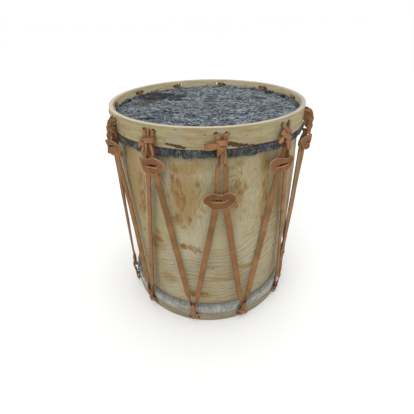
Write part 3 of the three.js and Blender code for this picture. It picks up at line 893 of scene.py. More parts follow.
def hair(name, material, roots, normals, lies, lengths, widths, lifts):
    """Locks of hair as slender closed spindles, all given as arrays in metres."""
    sides = np.cross(normals, lies)
    sides /= np.linalg.norm(sides, axis=1, keepdims=True)
    middle = roots + lies * (lengths * 0.5)[:, None] + normals * lifts[:, None]
    tip = roots + lies * lengths[:, None] + normals * (lifts * 0.35)[:, None]
    half = (widths / 2)[:, None]
    base = roots - normals * 0.0006
    points = np.stack([
        base - sides * half * 0.8, base + sides * half * 0.8, base + normals * half,
        middle - sides * half, middle + sides * half, middle + normals * half * 1.1,
        tip,
    ], axis=1).reshape(-1, 3)
    count = len(roots)
    spindle = [(0, 2, 1), (0, 1, 4), (0, 4, 3), (1, 2, 5), (1, 5, 4), (2, 0, 3), (2, 3, 5),
               (3, 4, 6), (4, 5, 6), (5, 3, 6)]
    starts = np.arange(count)[:, None, None] * 7
    faces = (np.array(spindle)[None] + starts).reshape(-1, 3)
    mesh = bpy.data.meshes.new(name)
    mesh.vertices.add(len(points))
    mesh.vertices.foreach_set("co", points.astype(np.float32).ravel())
    mesh.loops.add(len(faces) * 3)
    mesh.loops.foreach_set("vertex_index", faces.astype(np.int32).ravel())
    mesh.polygons.add(len(faces))
    mesh.polygons.foreach_set("loop_start", np.arange(0, len(faces) * 3, 3, dtype=np.int32))
    mesh.update(calc_edges=True)
    mesh.materials.append(material)
    mesh.polygons.foreach_set("use_smooth", [True] * len(faces))
    return linked(name, mesh)


def smooth_field(points, scale, seed):
    """Smooth noise at each point as an array."""
    offset = Vector((seed, -seed, 2 * seed))
    return np.array([noise.noise(Vector(p) / (scale * MM) + offset) for p in points])


# Distances in from the hide's outer face: of the outermost roots and tips on a head, and of the
# hair that stands up against the counter-hoop
ROOT_MARGIN = 2.5
TIP_MARGIN = 0.6
STANDING_BAND = 4.6


def head_hair(name, material, count, top, seed):
    """Hair lying on a head, combed from the left and back, swirling a little."""
    draw = np.random.default_rng(seed)
    radius = (HIDE_OUTER - ROOT_MARGIN) * MM * np.sqrt(draw.random(count))
    angle = draw.random(count) * 2 * math.pi
    flat = np.stack([radius * np.cos(angle), radius * np.sin(angle), np.zeros(count)], 1)
    broad, fine = smooth_field(flat, 70, seed), smooth_field(flat, 17, seed + 5)
    leftness = np.clip((-flat[:, 0] - 0.02) / 0.12, 0, 1)
    lie = -0.12 - 1.15 * leftness + 0.9 * broad + 0.9 * fine + draw.normal(0, 0.2, count)
    lies = np.stack([np.cos(lie), np.sin(lie), np.zeros(count)], 1)
    lengths = draw.uniform(0.007, 0.015, count)
    # Hair near the counter-hoop stands up against it
    tips = flat + lies * lengths[:, None]
    over = np.linalg.norm(tips, axis=1) > (HIDE_OUTER - TIP_MARGIN) * MM
    lengths[over] *= 0.35
    lifts = draw.uniform(0.0006, 0.0017, count)
    lifts *= np.clip(1 + 1.8 * smooth_field(flat, 9, seed + 9), 0.3, 2.6)
    lifts *= 1 - 0.5 * np.clip((radius / MM - 160) / 25, 0, 1)
    near = (radius > (HIDE_OUTER - STANDING_BAND) * MM) & (flat[:, 0] < -0.01)
    against = (over | near) & (flat[:, 1] > -0.03)
    lifts[against] = draw.uniform(0.001, 0.0075, against.sum())
    ragged = np.clip(0.62 + 1.2 * smooth_field(flat[near], 16, seed + 3), 0.15, 1)
    lifts[near] *= ragged
    widths = draw.uniform(0.0009, 0.0019, count)
    height = HEAD_TOP if top else DRUM_HEIGHT - HEAD_TOP
    roots = flat + np.array([0, 0, height * MM])
    normals = np.tile([0.0, 0.0, 1.0 if top else -1.0], (count, 1))
    return hair(name, material, roots, normals, lies, lengths, widths, lifts)


def lap_hair(name, material, count, top, seed):
    """Hair on the lapped edge, hanging down over what is below it."""
    draw = np.random.default_rng(seed)
    angle = draw.random(count) * 2 * math.pi
    out = np.stack([np.sin(angle), -np.cos(angle), np.zeros(count)], 1)
    side = np.stack([np.cos(angle), np.sin(angle), np.zeros(count)], 1)
    high, _, _, low = LAPS[top]
    if not top:
        low, high = DRUM_HEIGHT - high, DRUM_HEIGHT - low
    heights = draw.uniform(low + (3 if top else 1), high, count) * MM
    at = out * LAP_RADIUS * MM
    swirl = smooth_field(at, 38, seed) + 0.7 * smooth_field(at, 11, seed + 4)
    lean = (0.15 if top else 0.75) + 0.9 * swirl + draw.normal(0, 0.28, count)
    lies = side * np.sin(lean)[:, None] + np.array([0, 0, -1.0]) * np.cos(lean)[:, None]
    ragged = 1 + 0.55 * smooth_field(at, 24, seed + 8)
    if top:
        lengths = draw.uniform(0.004, 0.009, count) * ragged
    else:
        # Longer on the drum's right, where it hangs over the hoop
        right = np.clip((np.sin(angle) - 0.1) / 0.7, 0, 1) * np.clip(np.cos(angle) + 0.6, 0, 1)
        lengths = draw.uniform(0.005, 0.011, count) * ragged * (1 + 0.6 * right)
    normals = out.copy()
    if not top:
        # Some of it grows on the upper edge and falls over it
        edge = draw.random(count) < 0.3
        inwards = draw.uniform(0, LAP_RADIUS - HIDE_INNER + 0.6, count)[:, None] * MM
        at[edge] -= (out * inwards)[edge]
        heights[edge] = high * MM
        lies[edge] = (out * 0.9 + side * np.sin(lean)[:, None] * 0.8 - [0, 0, 0.25])[edge]
        lies[edge] /= np.linalg.norm(lies[edge], axis=1, keepdims=True)
        normals[edge] = (0, 0, 1)
        lengths[edge] *= 0.6
    roots = at + np.array([0, 0, 1.0]) * heights[:, None]
    lifts = draw.uniform(0.0006, 0.0024, count)
    widths = draw.uniform(0.0008, 0.0017, count)
    return hair(name, material, roots, normals, lies, lengths, widths, lifts)


# Where the grey hide is dark and where it is brown, as (x, y, half width, half depth) in millimetres
DARK_HAIR = [
    (-122, 98, 62, 34), (-88, 84, 52, 26), (-66, 52, 34, 14), (-146, 94, 30, 32), (-126, 62, 36, 16),
    (-2, -30, 22, 6), (2, 27, 26, 6), (78, 52, 34, 5), (-27, -84, 16, 7), (-74, -53, 22, 7),
    (-108, -90, 20, 9), (-131, 138, 24, 10), (-159, -42, 16, 7), (60, -70, 34, 5), (120, -40, 26, 5),
    (120, 60, 30, 5), (-40, 178, 26, 6), (110, 140, 26, 6), (-186, 12, 9, 26), (-176, 64, 12, 32),
    (-158, 102, 18, 32), (-118, 148, 32, 15), (-60, 178, 40, 9), (24, 188, 50, 6), (104, 158, 50, 8),
    (152, 114, 16, 32), (180, 60, 8, 32),
]
BROWN_HAIR = [
    (-149, 32, 18, 18), (-43, 142, 26, 14), (-26, 168, 30, 12), (-120, 60, 44, 30),
    (-128, 30, 18, 20), (-140, 8, 12, 12),
]
HEAD_LOCKS = 18500
EDGE_LOCKS = {True: 15000, False: 19000}
# The brown part of the hanging fringe, as a centre and radii
BAND_BROWN = [((-171, -99, 430), (60, 70, 40)), ((-192, -44, 430), (40, 60, 40))]


def on_head(spots):
    return [((x, y, HEAD_TOP), (wide, deep, 12)) for x, y, wide, deep in spots]


def heads():
    dark = on_head(DARK_HAIR)
    grey = fur("grey hair", (34, 39, 43), (100, 110, 116), (172, 182, 188), dark, on_head(BROWN_HAIR))
    band = fur("grey edge hair", (28, 29, 27), (70, 73, 71), (124, 129, 130),
               brown_spots=BAND_BROWN, lie=(1.3, 1.3, 0.3))
    white = fur("white hair", (124, 125, 116), (168, 170, 161), (200, 202, 195))
    fringe = fur("white edge hair", (150, 151, 143), (174, 176, 169), (200, 202, 197), lie=(0.8,) * 3)
    grey_hide = fur("grey hide", (22, 25, 27), (34, 38, 41), (50, 55, 60), dark)
    white_hide = fur("white hide", (150, 150, 142), (164, 165, 157), (178, 179, 171))
    for top in (True, False):
        skin = hide(top, grey_hide if top else white_hide)
        if top:
            pieces = [head_hair(f"top_head_hair_{k + 1}", grey, HEAD_LOCKS, True, 11 + k)
                      for k in range(2)]
            pieces.append(lap_hair("top_edge_hair", band, EDGE_LOCKS[top], True, 31))
        else:
            pieces = [head_hair("bottom_head_hair", white, HEAD_LOCKS, False, 21),
                      lap_hair("bottom_edge_hair", fringe, EDGE_LOCKS[top], False, 41)]
        word = END_NAMES[top]
        for piece in [skin, *pieces]:
            finish_piece(piece, "drum", f"{word}_skin")


# Lace

# Legs that lie turned on their long axis below the tab, by attachment: degrees at the tab and at the
# bottom turn for the left leg, then for the right leg
LEG_SPINS = {1: (0, 0, 6, 20), 2: (-16, 4, 42, 30), 4: (-34, -26, 10, 4), 5: (4, 8, -10, -16)}
# Legs that close up below their tab, by attachment: how far the left and the right leg move to the
# right and how far each comes out, in millimetres
LEG_MEETS = {1: ((-2.5, -1.5), (-4, 1.6))}
# The visible strip is a little narrower than its CAD solid, whose corners are square
STRIP_WIDTH = 11.7
# Half the distance between two legs at a turn: they are pulled closer together at the top (1)
TURN_HALVES = {1: 4.8, -1: 6.2}
TOP_TURN = DRUM_HEIGHT - TOP_TURN_INSET
# Lengths in millimetres from which a pair above a tab counts as long, and a leg needs more stations
LONG_PAIR = 50
LONG_LEG = 120


def lace_leg(mesher, i, side, way):
    """One run of the lace from its tab to a turn; way is 1 for upwards and -1 for downwards."""
    angle, facing = TOP_ANGLES[i], TAB_FACINGS[i] * 90
    turn_index = i if side > 0 else i - 1
    at = angle if way > 0 else BOTTOM_ANGLES[turn_index] - (360 if turn_index < 0 else 0)
    level = TOP_TURN if way > 0 else BOTTOM_TURNS[turn_index]
    seed = i * 3 + side
    flat = place(0, TAB_RADIUS, TAB_HEIGHTS[i], angle) + turn(
        side * LEG_SPACING / 2, 0, 0, angle + facing) * MM
    clear = flat + Vector((0, 0, way * SLEEVE_HEIGHT / 2 * MM))
    end = place(side * way * TURN_HALVES[way], TURN_RING_RADIUS, level, at)
    along = (end - clear).normalized()
    reach = (end - clear).length / MM
    long_pair = way > 0 and reach > LONG_PAIR
    # Where along the leg its twist starts: a short pair leaves its tab already half turned
    start = max(0, 1 - TWIST_LENGTH / reach)
    if way > 0:
        start = 0.84 if long_pair else -0.7
    stations = [(flat, turn(1, 0, 0, angle + facing), STRIP_WIDTH * MM, LACE_THICKNESS * MM)]
    count = 26 if reach > LONG_LEG else 12
    for k in range(count + 1):
        share = k / count
        twist = smoothstep(start, 1, share)
        spin = (at - angle) * min(1, share / max(start, 0.1)) + facing * (1 - twist)
        if way < 0 and i in LEG_SPINS:
            near, far = LEG_SPINS[i][:2] if side < 0 else LEG_SPINS[i][2:]
            turned = near + (far - near) * share
            spin += turned * smoothstep(0, 0.1, share) * smoothstep(1, 0.86, share)
        across = (turn(1, 0, 0, angle + spin) * math.cos(twist * math.pi / 2)
                  + turn(0, 1, 0, at) * math.sin(twist * math.pi / 2))
        free = math.sin(math.pi * share)
        point = clear.lerp(end, share)
        # Hand-cut leather: its width, lie and lean wander a little
        lean = 0.2 * free * wobble(point, 70, seed)
        across = across * math.cos(lean) + along.cross(across) * math.sin(lean)
        width = STRIP_WIDTH + (FOLDED_WIDTH - STRIP_WIDTH) * twist
        width += 0.9 * free * wobble(point, 45, seed + 20)
        if long_pair:
            # It goes up narrow and side by side until it nears the knot
            width *= 1 - 0.3 * smoothstep(0, 0.25, share)
            apart = (LEG_SPACING / 2 - TURN_HALVES[1]) * (share - share ** 7)
            point = point + turn(side * apart, 0, 0, angle) * MM
        if way < 0 and i in LEG_MEETS:
            shift, out = LEG_MEETS[i][side > 0]
            close = 1 - smoothstep(0, 0.5, share)
            point = point + turn(shift * close, out * close, 0, angle + facing) * MM
        point = point + turn(1, 0, 0, at) * 0.5 * MM * free * wobble(point, 80, seed + 40)
        stations.append((point, across, width * MM, LACE_THICKNESS * MM))
    ribbon(mesher, stations, 2, crown=0.12, rough=0.25, seed=seed)


def lace(materials):
    """The one long thong, as the runs between its turns so that each run follows its tab."""
    for name, angles, levels, rise in (
        ("lace_top_turns", TOP_ANGLES, [TOP_TURN] * ATTACHMENTS, 1),
        ("lace_bottom_turns", BOTTOM_ANGLES, BOTTOM_TURNS, -1),
    ):
        mesher = Mesher()
        for angle, level in zip(angles, levels):
            stations = []
            for step in range(9):
                swing = step / 8 * math.pi
                at = place(-math.cos(swing) * TURN_HALVES[rise], TURN_RING_RADIUS,
                           level + math.sin(swing) * TURN_RADIUS * rise, angle)
                stations.append((at, turn(0, 1, 0, angle), FOLDED_WIDTH * MM, LACE_THICKNESS * MM))
            ribbon(mesher, stations, 2, rough=0.0)
        finish_piece(mesher.build(name, materials), "drum", "tension_lace")

    for i, angle in enumerate(TOP_ANGLES):
        for word, way, far in (("above", 1, TOP_TURN), ("below", -1, BOTTOM_TURNS[i])):
            mesher = Mesher()
            for side in (-1, 1):
                lace_leg(mesher, i, side, way)
            made = mesher.build(f"lace_{word}_tab_{i + 1}", materials)
            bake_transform(made)
            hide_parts("tension_lace")


# Beckets

TOP_BECKET = {
    "hole": 7.4, "hole_inset": 11, "bridge": 8.6, "strip": 5.4, "thick": 1.9, "knot_inset": 28,
    "middle": 5.0, "seat": 6.2,
}
BOTTOM_BECKET = {
    "hole": 8.7, "hole_inset": 11, "bridge": 4.4, "strip": 4.2, "thick": 1.6, "knot_inset": 22,
    "middle": 4.4, "seat": 6.4,
}
# Knots as tied, each strip as rows of (side, out, inset, width) in millimetres. "left" and "right"
# come out of the two holes, where a right one that isn't given mirrors the left one. "wraps" close
# behind the knot, "ends" are open strips, "flanks" lie on the knot's side and "loop" strips go round
# the lace's turn. They are drawn for a becket whose tail lies to the left.
TOP_KNOTS = {
    "flat tail": {
        "left": [(-6.6, 2.2, 11.6, 7), (-5.4, 4.2, 16, 7), (-3.6, 5.2, 22, 7.4), (-1.5, 5, 28, 7)],
        "wraps": [
            [(-8, 4.5, 22.5, 8.5), (-5.5, 8.6, 22, 9.6), (0.3, 9.6, 22, 10), (6.2, 8.8, 22.4, 9.8),
             (8.2, 4.5, 23, 8.5)],
            [(-8.6, 4.5, 26, 7), (-7.5, 8, 28.5, 8), (-2.5, 9.6, 32, 8.2), (3.2, 8.2, 31.6, 7),
             (6, 4, 30, 6)],
        ],
        "ends": [
            [(-3, 5.5, 27.5, 8), (-7, 7.6, 27.3, 10.5), (-13, 8, 27.4, 11.4), (-20, 7.4, 28.4, 11.4),
             (-27.6, 5.2, 29.8, 11)],
            [(-2.5, 8.6, 31, 8), (-4.6, 9.8, 35, 8.4), (-5.8, 9.4, 40, 5.6), (-6.7, 8, 44, 3),
             (-6.9, 7, 48, 0.9)],
        ],
        "loop": [
            [(1.5, 7, 31, 5.6), (0.8, 8.5, 40, 6), (-1, 11.5, 46.5, 6)],
            [(5.2, 6.5, 30, 4.6), (5, 9, 40, 4.8), (4.6, 11, 47, 5)],
        ],
    },
    "banded": {
        "left": [(-8.6, 1.6, 12.5, 7.5), (-5.6, 4.4, 16.5, 8), (-7.5, 6.2, 22.5, 8),
                 (-12, 7.6, 28.5, 8), (-16, 8, 33, 7.5), (-19, 6.6, 37.5, 6.5), (-21, 4, 40.5, 4)],
        "right": [(8, 1.6, 12, 7), (8.2, 4, 16.5, 7.6), (6, 6, 22, 7.6)],
        "wraps": [
            [(-7.5, 4.5, 25.6, 9), (-5.4, 9.4, 25.2, 9.8), (2.8, 10.8, 23.4, 10),
             (10.6, 9.4, 22.6, 9.8), (12.2, 4.5, 22.6, 9)],
        ],
        "ends": [
            [(-0.5, 1.2, 8.5, 5), (1.2, 4.6, 13.5, 5.4), (1, 6.6, 20, 5.8)],
            [(-13, 4, 26, 7), (-12.5, 8.5, 29.5, 8), (-8, 9.5, 32.5, 7), (-5.5, 5, 33, 6)],
        ],
        "loop": [
            [(-5, 7, 30, 6), (-9.5, 9, 39, 5.6), (-10.5, 10.6, 46, 5.4)],
            [(-1.5, 9, 30, 4.5), (-1.9, 11, 41, 4.8), (-3.7, 12, 47, 4.8)],
            [(6.2, 8, 30, 6.4), (9.8, 10, 39.5, 6.4), (11, 11, 47, 5)],
        ],
    },
    "crossed": {
        "left": [(-8.6, 1.6, 12, 6), (-8.2, 4, 14.5, 6.4), (-3.5, 8, 19.5, 7), (3.5, 9.2, 24, 7.4),
                 (9.6, 8, 28.5, 7.2), (11.5, 4, 32, 6)],
        "right": [(8.6, 1.6, 12, 6), (6.4, 3.2, 15, 6.2), (4.4, 4.6, 19, 6.2), (0, 5, 25, 6.5)],
        "wraps": [
            [(-13, 4.5, 22, 9), (-11.5, 9, 25.5, 9.6), (-3.5, 11, 31.5, 10), (5.5, 9.5, 37.5, 9),
             (7.5, 4.5, 40, 7.5)],
        ],
        "ends": [
            [(-8, 7, 28, 9), (-14, 8.4, 30.5, 9.6), (-18.5, 7.6, 35, 9.8), (-21.5, 6, 38.5, 9.6)],
            [(-6, 8.5, 36.5, 7), (-1.5, 10.5, 41, 8), (5.5, 10, 47.5, 7), (8, 8, 52, 4)],
        ],
        "loop": [
            [(-0.5, 10, 42, 7.5), (-1.2, 11.6, 45.5, 7.6), (-1.5, 12, 47, 8)],
            [(4, 7.5, 36, 5), (5, 9.5, 42, 5), (4.6, 11, 47, 5)],
        ],
    },
    "arched": {
        "left": [(-8.6, 1.8, 11, 7), (-7.5, 7, 12, 7.5), (-6, 12.5, 17, 8), (-4.5, 15.5, 24, 8),
                 (-3, 15, 31, 7.5)],
        "wraps": [
            [(-7.5, 7, 27, 8), (-6.5, 14, 28, 9.5), (0, 18, 30, 10), (6.5, 14, 31, 9.5),
             (7.5, 7, 31, 8)],
        ],
        "ends": [
            [(-6, 9, 30, 8), (-8.5, 9, 34, 9), (-9, 8, 39, 7), (-8.5, 7.5, 44, 2)],
            [(-5, 2.5, 11.5, 8), (-4.5, 7.4, 15, 9), (-2, 10.4, 22, 10), (0, 9.6, 32, 9)],
            [(5, 2, 15, 8), (5, 5, 22, 9), (3, 6, 32, 10), (1, 7, 41, 9)],
            [(-3, 2.6, 22, 9), (-3.5, 4.4, 32, 10), (-2, 6, 42, 9)],
        ],
        "flanks": [
            [(-7.5, 4, 9, 6), (-7.5, 9, 13, 10), (-7.5, 12, 21, 11), (-7, 12.5, 30, 11),
             (-6.5, 11, 38, 9)],
            [(-7, 1.5, 11, 4), (-7, 3.5, 16, 9), (-7, 4.6, 24, 10), (-7, 4.4, 32, 7)],
            [(-7, 8, 26, 8), (-8, 5.5, 31, 8), (-8.5, 4, 36, 7), (-8.5, 3, 41, 2)],
            [(-6, 13, 36, 9), (-5.5, 13.5, 43, 10), (-5, 13.5, 51, 9), (-5, 14, 58, 8)],
        ],
        "loop": [
            [(1, 17, 36, 8), (1.5, 18.5, 44, 8), (0.5, 17, 50, 7)],
            [(-3, 12, 34, 8), (-3, 13.6, 42, 8), (-2, 13.5, 49, 7)],
            [(3.4, 9.4, 34, 7), (4, 10.4, 42, 7), (3, 11.5, 49, 6)],
        ],
    },
    "boxed": {
        "left": [(-8.6, 1.8, 11, 7), (-7, 6.5, 12.5, 7.5), (-5.5, 9.5, 18, 8), (-4, 10.5, 24, 8)],
        "wraps": [
            [(-8, 5, 27, 9), (-6.5, 13, 27.5, 10), (0, 16, 28, 10.4), (6.5, 13, 28.5, 10),
             (8, 5, 28.5, 9)],
        ],
        "ends": [
            [(-3, 15, 24, 8), (-8, 14, 26, 8.5), (-12, 10.5, 29, 8), (-13.5, 7, 33, 6)],
            [(-3, 3, 12, 8), (-1, 8, 15, 9), (0, 10.5, 21, 10), (0, 10, 30, 9)],
            [(3, 3, 19, 9), (1, 5.4, 26, 10), (0, 6, 36, 8), (0, 6, 43, 6)],
        ],
        "flanks": [
            [(-7.5, 2, 10, 7), (-7.5, 9, 13.5, 11), (-7.2, 11, 20, 11), (-7, 11, 27, 10)],
            [(-7, 13, 32, 8), (-7, 17, 39, 7), (-6, 17, 47, 6)],
            [(-6, 5, 32, 6), (-6, 4, 40, 5), (-5, 5, 48, 5)],
        ],
        "loop": [
            [(5, 14, 36, 6), (8, 17, 43, 5.5), (6, 16, 49, 5)],
            [(0, 14, 36, 5), (0, 15, 43, 5), (0.3, 14.5, 48, 5)],
            [(-5, 11, 36, 6.5), (-8, 11.5, 44, 6), (-5, 12.5, 49, 5.5)],
        ],
    },
}
TOP_KNOT_OF = ["banded", "boxed", "banded", "flat tail", "crossed", "arched",
               "boxed", "banded", "crossed", "flat tail", "arched"]
BOTTOM_KNOTS = {
    "flat": {
        "left": [(-8.2, 1.4, 11.8, 4.8), (-6.4, 3.6, 14.6, 5.6), (-3.6, 5, 20, 6.4), (-1.5, 5, 25, 7)],
        "right": [(8.4, 1.4, 11.6, 4.8), (6.8, 3.8, 14, 5.6), (3.6, 5.2, 20, 6.4), (1.5, 5.2, 25, 7)],
        "wraps": [
            [(-8.6, 3, 13, 6), (-6, 6.6, 13.6, 7.6), (0.5, 7.4, 19, 8), (6.4, 5.6, 26, 7),
             (8.2, 3, 28, 6)],
            [(-7, 3.4, 26.5, 6), (-5, 7.4, 26, 7), (0, 8.2, 25.6, 7.2), (4.4, 6.4, 25, 6.4),
             (6.4, 3.2, 24.6, 6)],
        ],
        "ends": [
            [(2.5, 6.8, 25, 6.4), (7.5, 7, 28.4, 7), (12, 6.2, 29.4, 7), (15, 4, 28, 5.4)],
            [(-2, 7.2, 15, 6), (-6, 6.4, 13, 6.2), (-9.4, 4, 12.6, 4.6)],
        ],
        "loop": [[(0, 7.4, 26, 9.6), (0.3, 9.2, 36, 11.6), (0.3, 11.4, 49, 11.4)]],
    },
    "crumpled": {
        "left": [(-8.4, 1.4, 11.8, 4.8), (-7, 4, 14, 5.6), (-2.5, 6.4, 18.6, 6), (3.5, 6, 24, 6)],
        "right": [(8.4, 1.4, 11.8, 4.8), (7.4, 3.6, 15, 5.6), (3.5, 4.6, 20, 6), (-1, 4.6, 25, 6)],
        "wraps": [
            [(-9.4, 3, 14, 5.6), (-6.8, 6.8, 14, 7), (0, 8.6, 17, 8), (6.8, 7.6, 23, 7.4),
             (9.2, 3.6, 26.5, 6)],
            [(-8.4, 3.4, 26, 6), (-5.6, 8, 25.6, 7), (0, 9.4, 23, 7), (6.4, 8.2, 17.4, 7.6),
             (10.4, 3.8, 14, 6)],
        ],
        "ends": [
            [(4, 7.6, 16.5, 7), (9, 8.4, 14, 7.6), (13, 6.6, 13.2, 7), (15.6, 4, 14.6, 5)],
            [(-3, 7.6, 26, 6), (-8, 8.8, 29, 6.6), (-11.4, 7, 33, 5.4)],
        ],
        "loop": [
            [(-4, 7, 24, 5), (-5.4, 9.4, 36, 5.4), (-3.6, 11.4, 49, 5)],
            [(1, 8.6, 26, 4.6), (1.4, 10.8, 38, 4.8), (0.8, 12, 49.5, 4.8)],
            [(5.6, 7, 24, 5.4), (6.4, 9, 36, 5.8), (4.8, 11, 48.5, 5)],
        ],
    },
    "folded": {
        "left": [(-8.2, 1.4, 12, 4.8), (-5.8, 4.4, 14.6, 6), (-4.4, 6, 20, 6.6), (-2.6, 5.4, 26, 6.4)],
        "right": [(8.2, 1.4, 12, 4.8), (6.4, 4, 15.6, 6), (2.4, 6.8, 19, 6.6), (-4, 6.6, 22, 6),
                  (-8, 3.6, 23, 5)],
        "wraps": [
            [(-8, 3.4, 19, 6.4), (-5.6, 7.8, 19.6, 8), (0.4, 9.2, 21.4, 8.6), (6.4, 7.8, 23.6, 8),
             (8.4, 3.6, 24.6, 6.4)],
        ],
        "ends": [
            [(-2, 8.2, 16, 7), (-7.4, 8, 14, 8), (-12.5, 6, 13, 7.4), (-15.4, 3.6, 14, 5.4)],
            [(3, 7.4, 26, 6), (7.4, 8.6, 28.6, 6.6), (10.4, 7, 32, 5)],
        ],
        "loop": [
            [(-3, 7.4, 26, 6), (-4, 9.6, 38, 6.4), (-3, 11.6, 49.5, 5.4)],
            [(3, 7.8, 26, 5.8), (3.8, 10, 38, 6), (3, 11.6, 49, 5.2)],
        ],
    },
}
BOTTOM_KNOT_OF = ["crumpled", "folded", "flat", "crumpled", "folded", "crumpled",
                  "flat", "crumpled", "folded", "flat", "crumpled"]
# A knot that is pulled flatter than drawn, as a share of how far it stands out
KNOT_DEPTHS = {0: 0.5}
# A knot stands out from this level, as far in as this inset
KNOT_LEVEL = 2
KNOT_END = 40
# How far short of the lace's turn its loops are still clear of it, how far short of it they bend
# under it, and the gap they leave round it
LOOP_CLEAR = TURN_RADIUS + 2.2
LOOP_SEAT = 3.4
LOOP_GAP = 0.35
# The gap between the hoop's inner face and the bridge between the two holes
BRIDGE_GAP = 0.7


def becket(kind, knot, angle, turn_inset, mirror, top, seed, depth=1.0):
    """One becket: a strap through two hoop holes, tied, with loops that hold a lace turn."""
    mesher = Mesher()
    thick = kind["thick"] * MM
    outwards = turn(0, 1, 0, angle)
    upwards = Vector((0, 0, 1))
    inner = HOOP_INNER - HOOP_RADIUS - kind["thick"] / 2 - BRIDGE_GAP

    def spot(side, out, inset):
        height = DRUM_HEIGHT - inset if top else inset
        if KNOT_LEVEL < out and inset < KNOT_END:
            out = KNOT_LEVEL + (out - KNOT_LEVEL) * depth
        return place(side * mirror, HOOP_RADIUS + out, height, angle)

    def stations(rows, lean=0.0):
        """Strips lie flat, facing outwards, each turned a little about its own length."""
        points = [spot(side, out, inset) for side, out, inset, _ in rows]
        made = []
        for k, row in enumerate(rows):
            along = points[min(k + 1, len(rows) - 1)] - points[max(k - 1, 0)]
            across = along.cross(outwards).normalized()
            across = across + outwards * (lean + 0.22 * math.sin(2.1 * k + seed))
            made.append((points[k], across, row[3] * MM, thick))
        return made

    # The straps, joined by the bridge inside the hoop
    whole = []
    right = knot.get("right") or [(-side, *rest) for side, *rest in knot["left"]]
    for strap, sign in ((knot["left"], -1), (right, 1)):
        hole, level = sign * kind["hole"], kind["hole_inset"]
        flat = turn(mirror * sign, 0, 0, angle)
        width = kind["bridge"] * MM
        # One edge keeps its side all the way along the strap, from the inside to the knot
        rows = [
            (spot(hole * 0.6, inner, level), upwards, width, thick),
            (spot(hole * 0.96, inner + 1.2, level), upwards * 0.9 + flat * 0.2, width * 0.95, thick),
            (spot(hole, inner + 6, level), upwards * 0.5 + flat * 0.85, kind["strip"] * MM, thick),
            (spot(hole, -0.6, level - 0.2), flat, kind["strip"] * MM, thick),
        ]
        for point, across, wide, deep in stations(strap):
            if across.dot(rows[-1][1]) < 0:
                across = -across
            rows.append((point, across, wide, deep))
        whole = rows[::-1] if sign < 0 else whole + rows
    ribbon(mesher, whole, 4, crown=0.3, seed=seed)

    for number, rows in enumerate(knot["wraps"]):
        first, last = Vector(spot(*rows[0][:3])), Vector(spot(*rows[-1][:3]))
        across = (last - first).cross(outwards).normalized()
        closed = [(spot(*row[:3]), across + outwards * 0.1 * math.sin(k + seed), row[3] * MM,
                   thick * 1.1) for k, row in enumerate(rows)]
        for share in (0.25, 0.75):
            back = last.lerp(first, share)
            back -= outwards * (back.dot(outwards) - (HOOP_RADIUS + 1.2) * MM)
            closed.append((back, across, rows[0][3] * 0.8 * MM, thick))
        ribbon(mesher, closed, 4, True, crown=-0.25, rough=0.4, seed=seed + number + 5)

    for number, rows in enumerate(knot["ends"]):
        ribbon(mesher, stations(rows), 5, crown=0.15, seed=seed + 17 + number)
    for number, rows in enumerate(knot.get("flanks", [])):
        # These lie on the knot's side, with their width outwards
        flank = [(spot(*row[:3]), outwards, row[3] * MM, thick) for row in rows]
        ribbon(mesher, flank, 5, crown=0.15, rough=0.5, seed=seed + 23 + number)

    # The loops go down in front of the lace's turn, under it and up behind it
    turn_out = TURN_RING_RADIUS - HOOP_RADIUS
    reach = (FOLDED_WIDTH + kind["thick"]) / 2 + LOOP_GAP
    seat = turn_inset - LOOP_SEAT
    clear = turn_inset - LOOP_CLEAR
    usual = (TOP_TURN_INSET if top else BOTTOM_TURN_INSET) - LOOP_CLEAR
    start = kind["knot_inset"]
    stretch = (clear - start) / (usual - start)
    for number, rows in enumerate(knot["loop"]):
        moved = [(side, out, start + (inset - start) * stretch, wide)
                 for side, out, inset, wide in rows]
        front = stations(moved)
        spread = rows[-1][0]
        settle = math.copysign(min(abs(spread) * 0.5, 2.4), spread)
        hang = math.copysign(min(abs(spread) * 0.85, 6.5), spread)
        across = turn(mirror, 0, 0, angle)
        if front[-1][1].dot(across) < 0:
            across = -across
        narrow = kind["seat"] * (1 if len(knot["loop"]) == 1 else 0.75) * MM
        under = [
            (hang, turn_out + reach + 0.2, seat + 0.6), (settle, turn_out + reach * 0.6, seat + 2.6),
            (settle, turn_out - reach * 0.5, seat + 0.3), (settle, turn_out - reach + 0.3, seat - 1.6),
            (spread * 0.7, turn_out - reach, clear - 2),
            (spread * 0.3, kind["middle"] - 1.6, start + 2),
        ]
        ribbon(mesher, front + [(spot(*at), across, narrow, thick) for at in under], 4,
               crown=0.3, seed=seed + 31 + number)
    return mesher


def beckets(materials):
    for i in range(ATTACHMENTS):
        for top in (True, False):
            if top:
                kind, knot = TOP_BECKET, TOP_KNOTS[TOP_KNOT_OF[i]]
                angle, mirror, held = TOP_ANGLES[i], -TAIL_SIDES[i], TOP_TURN_INSET
            else:
                kind, knot = BOTTOM_BECKET, BOTTOM_KNOTS[BOTTOM_KNOT_OF[i]]
                angle, mirror, held = BOTTOM_ANGLES[i], 1, BOTTOM_TURNS[i]
            depth = KNOT_DEPTHS.get(i, 1) if top else 1
            seed = i * 1.7 + (0 if top else 40)
            mesher = becket(kind, knot, angle, held, mirror, top, seed, depth)
            word = END_NAMES[top]
            made = mesher.build(f"{word}_knot_{i + 1}", materials)
            finish_piece(made, "drum", f"{word}_becket_{i + 1}")


# Tabs

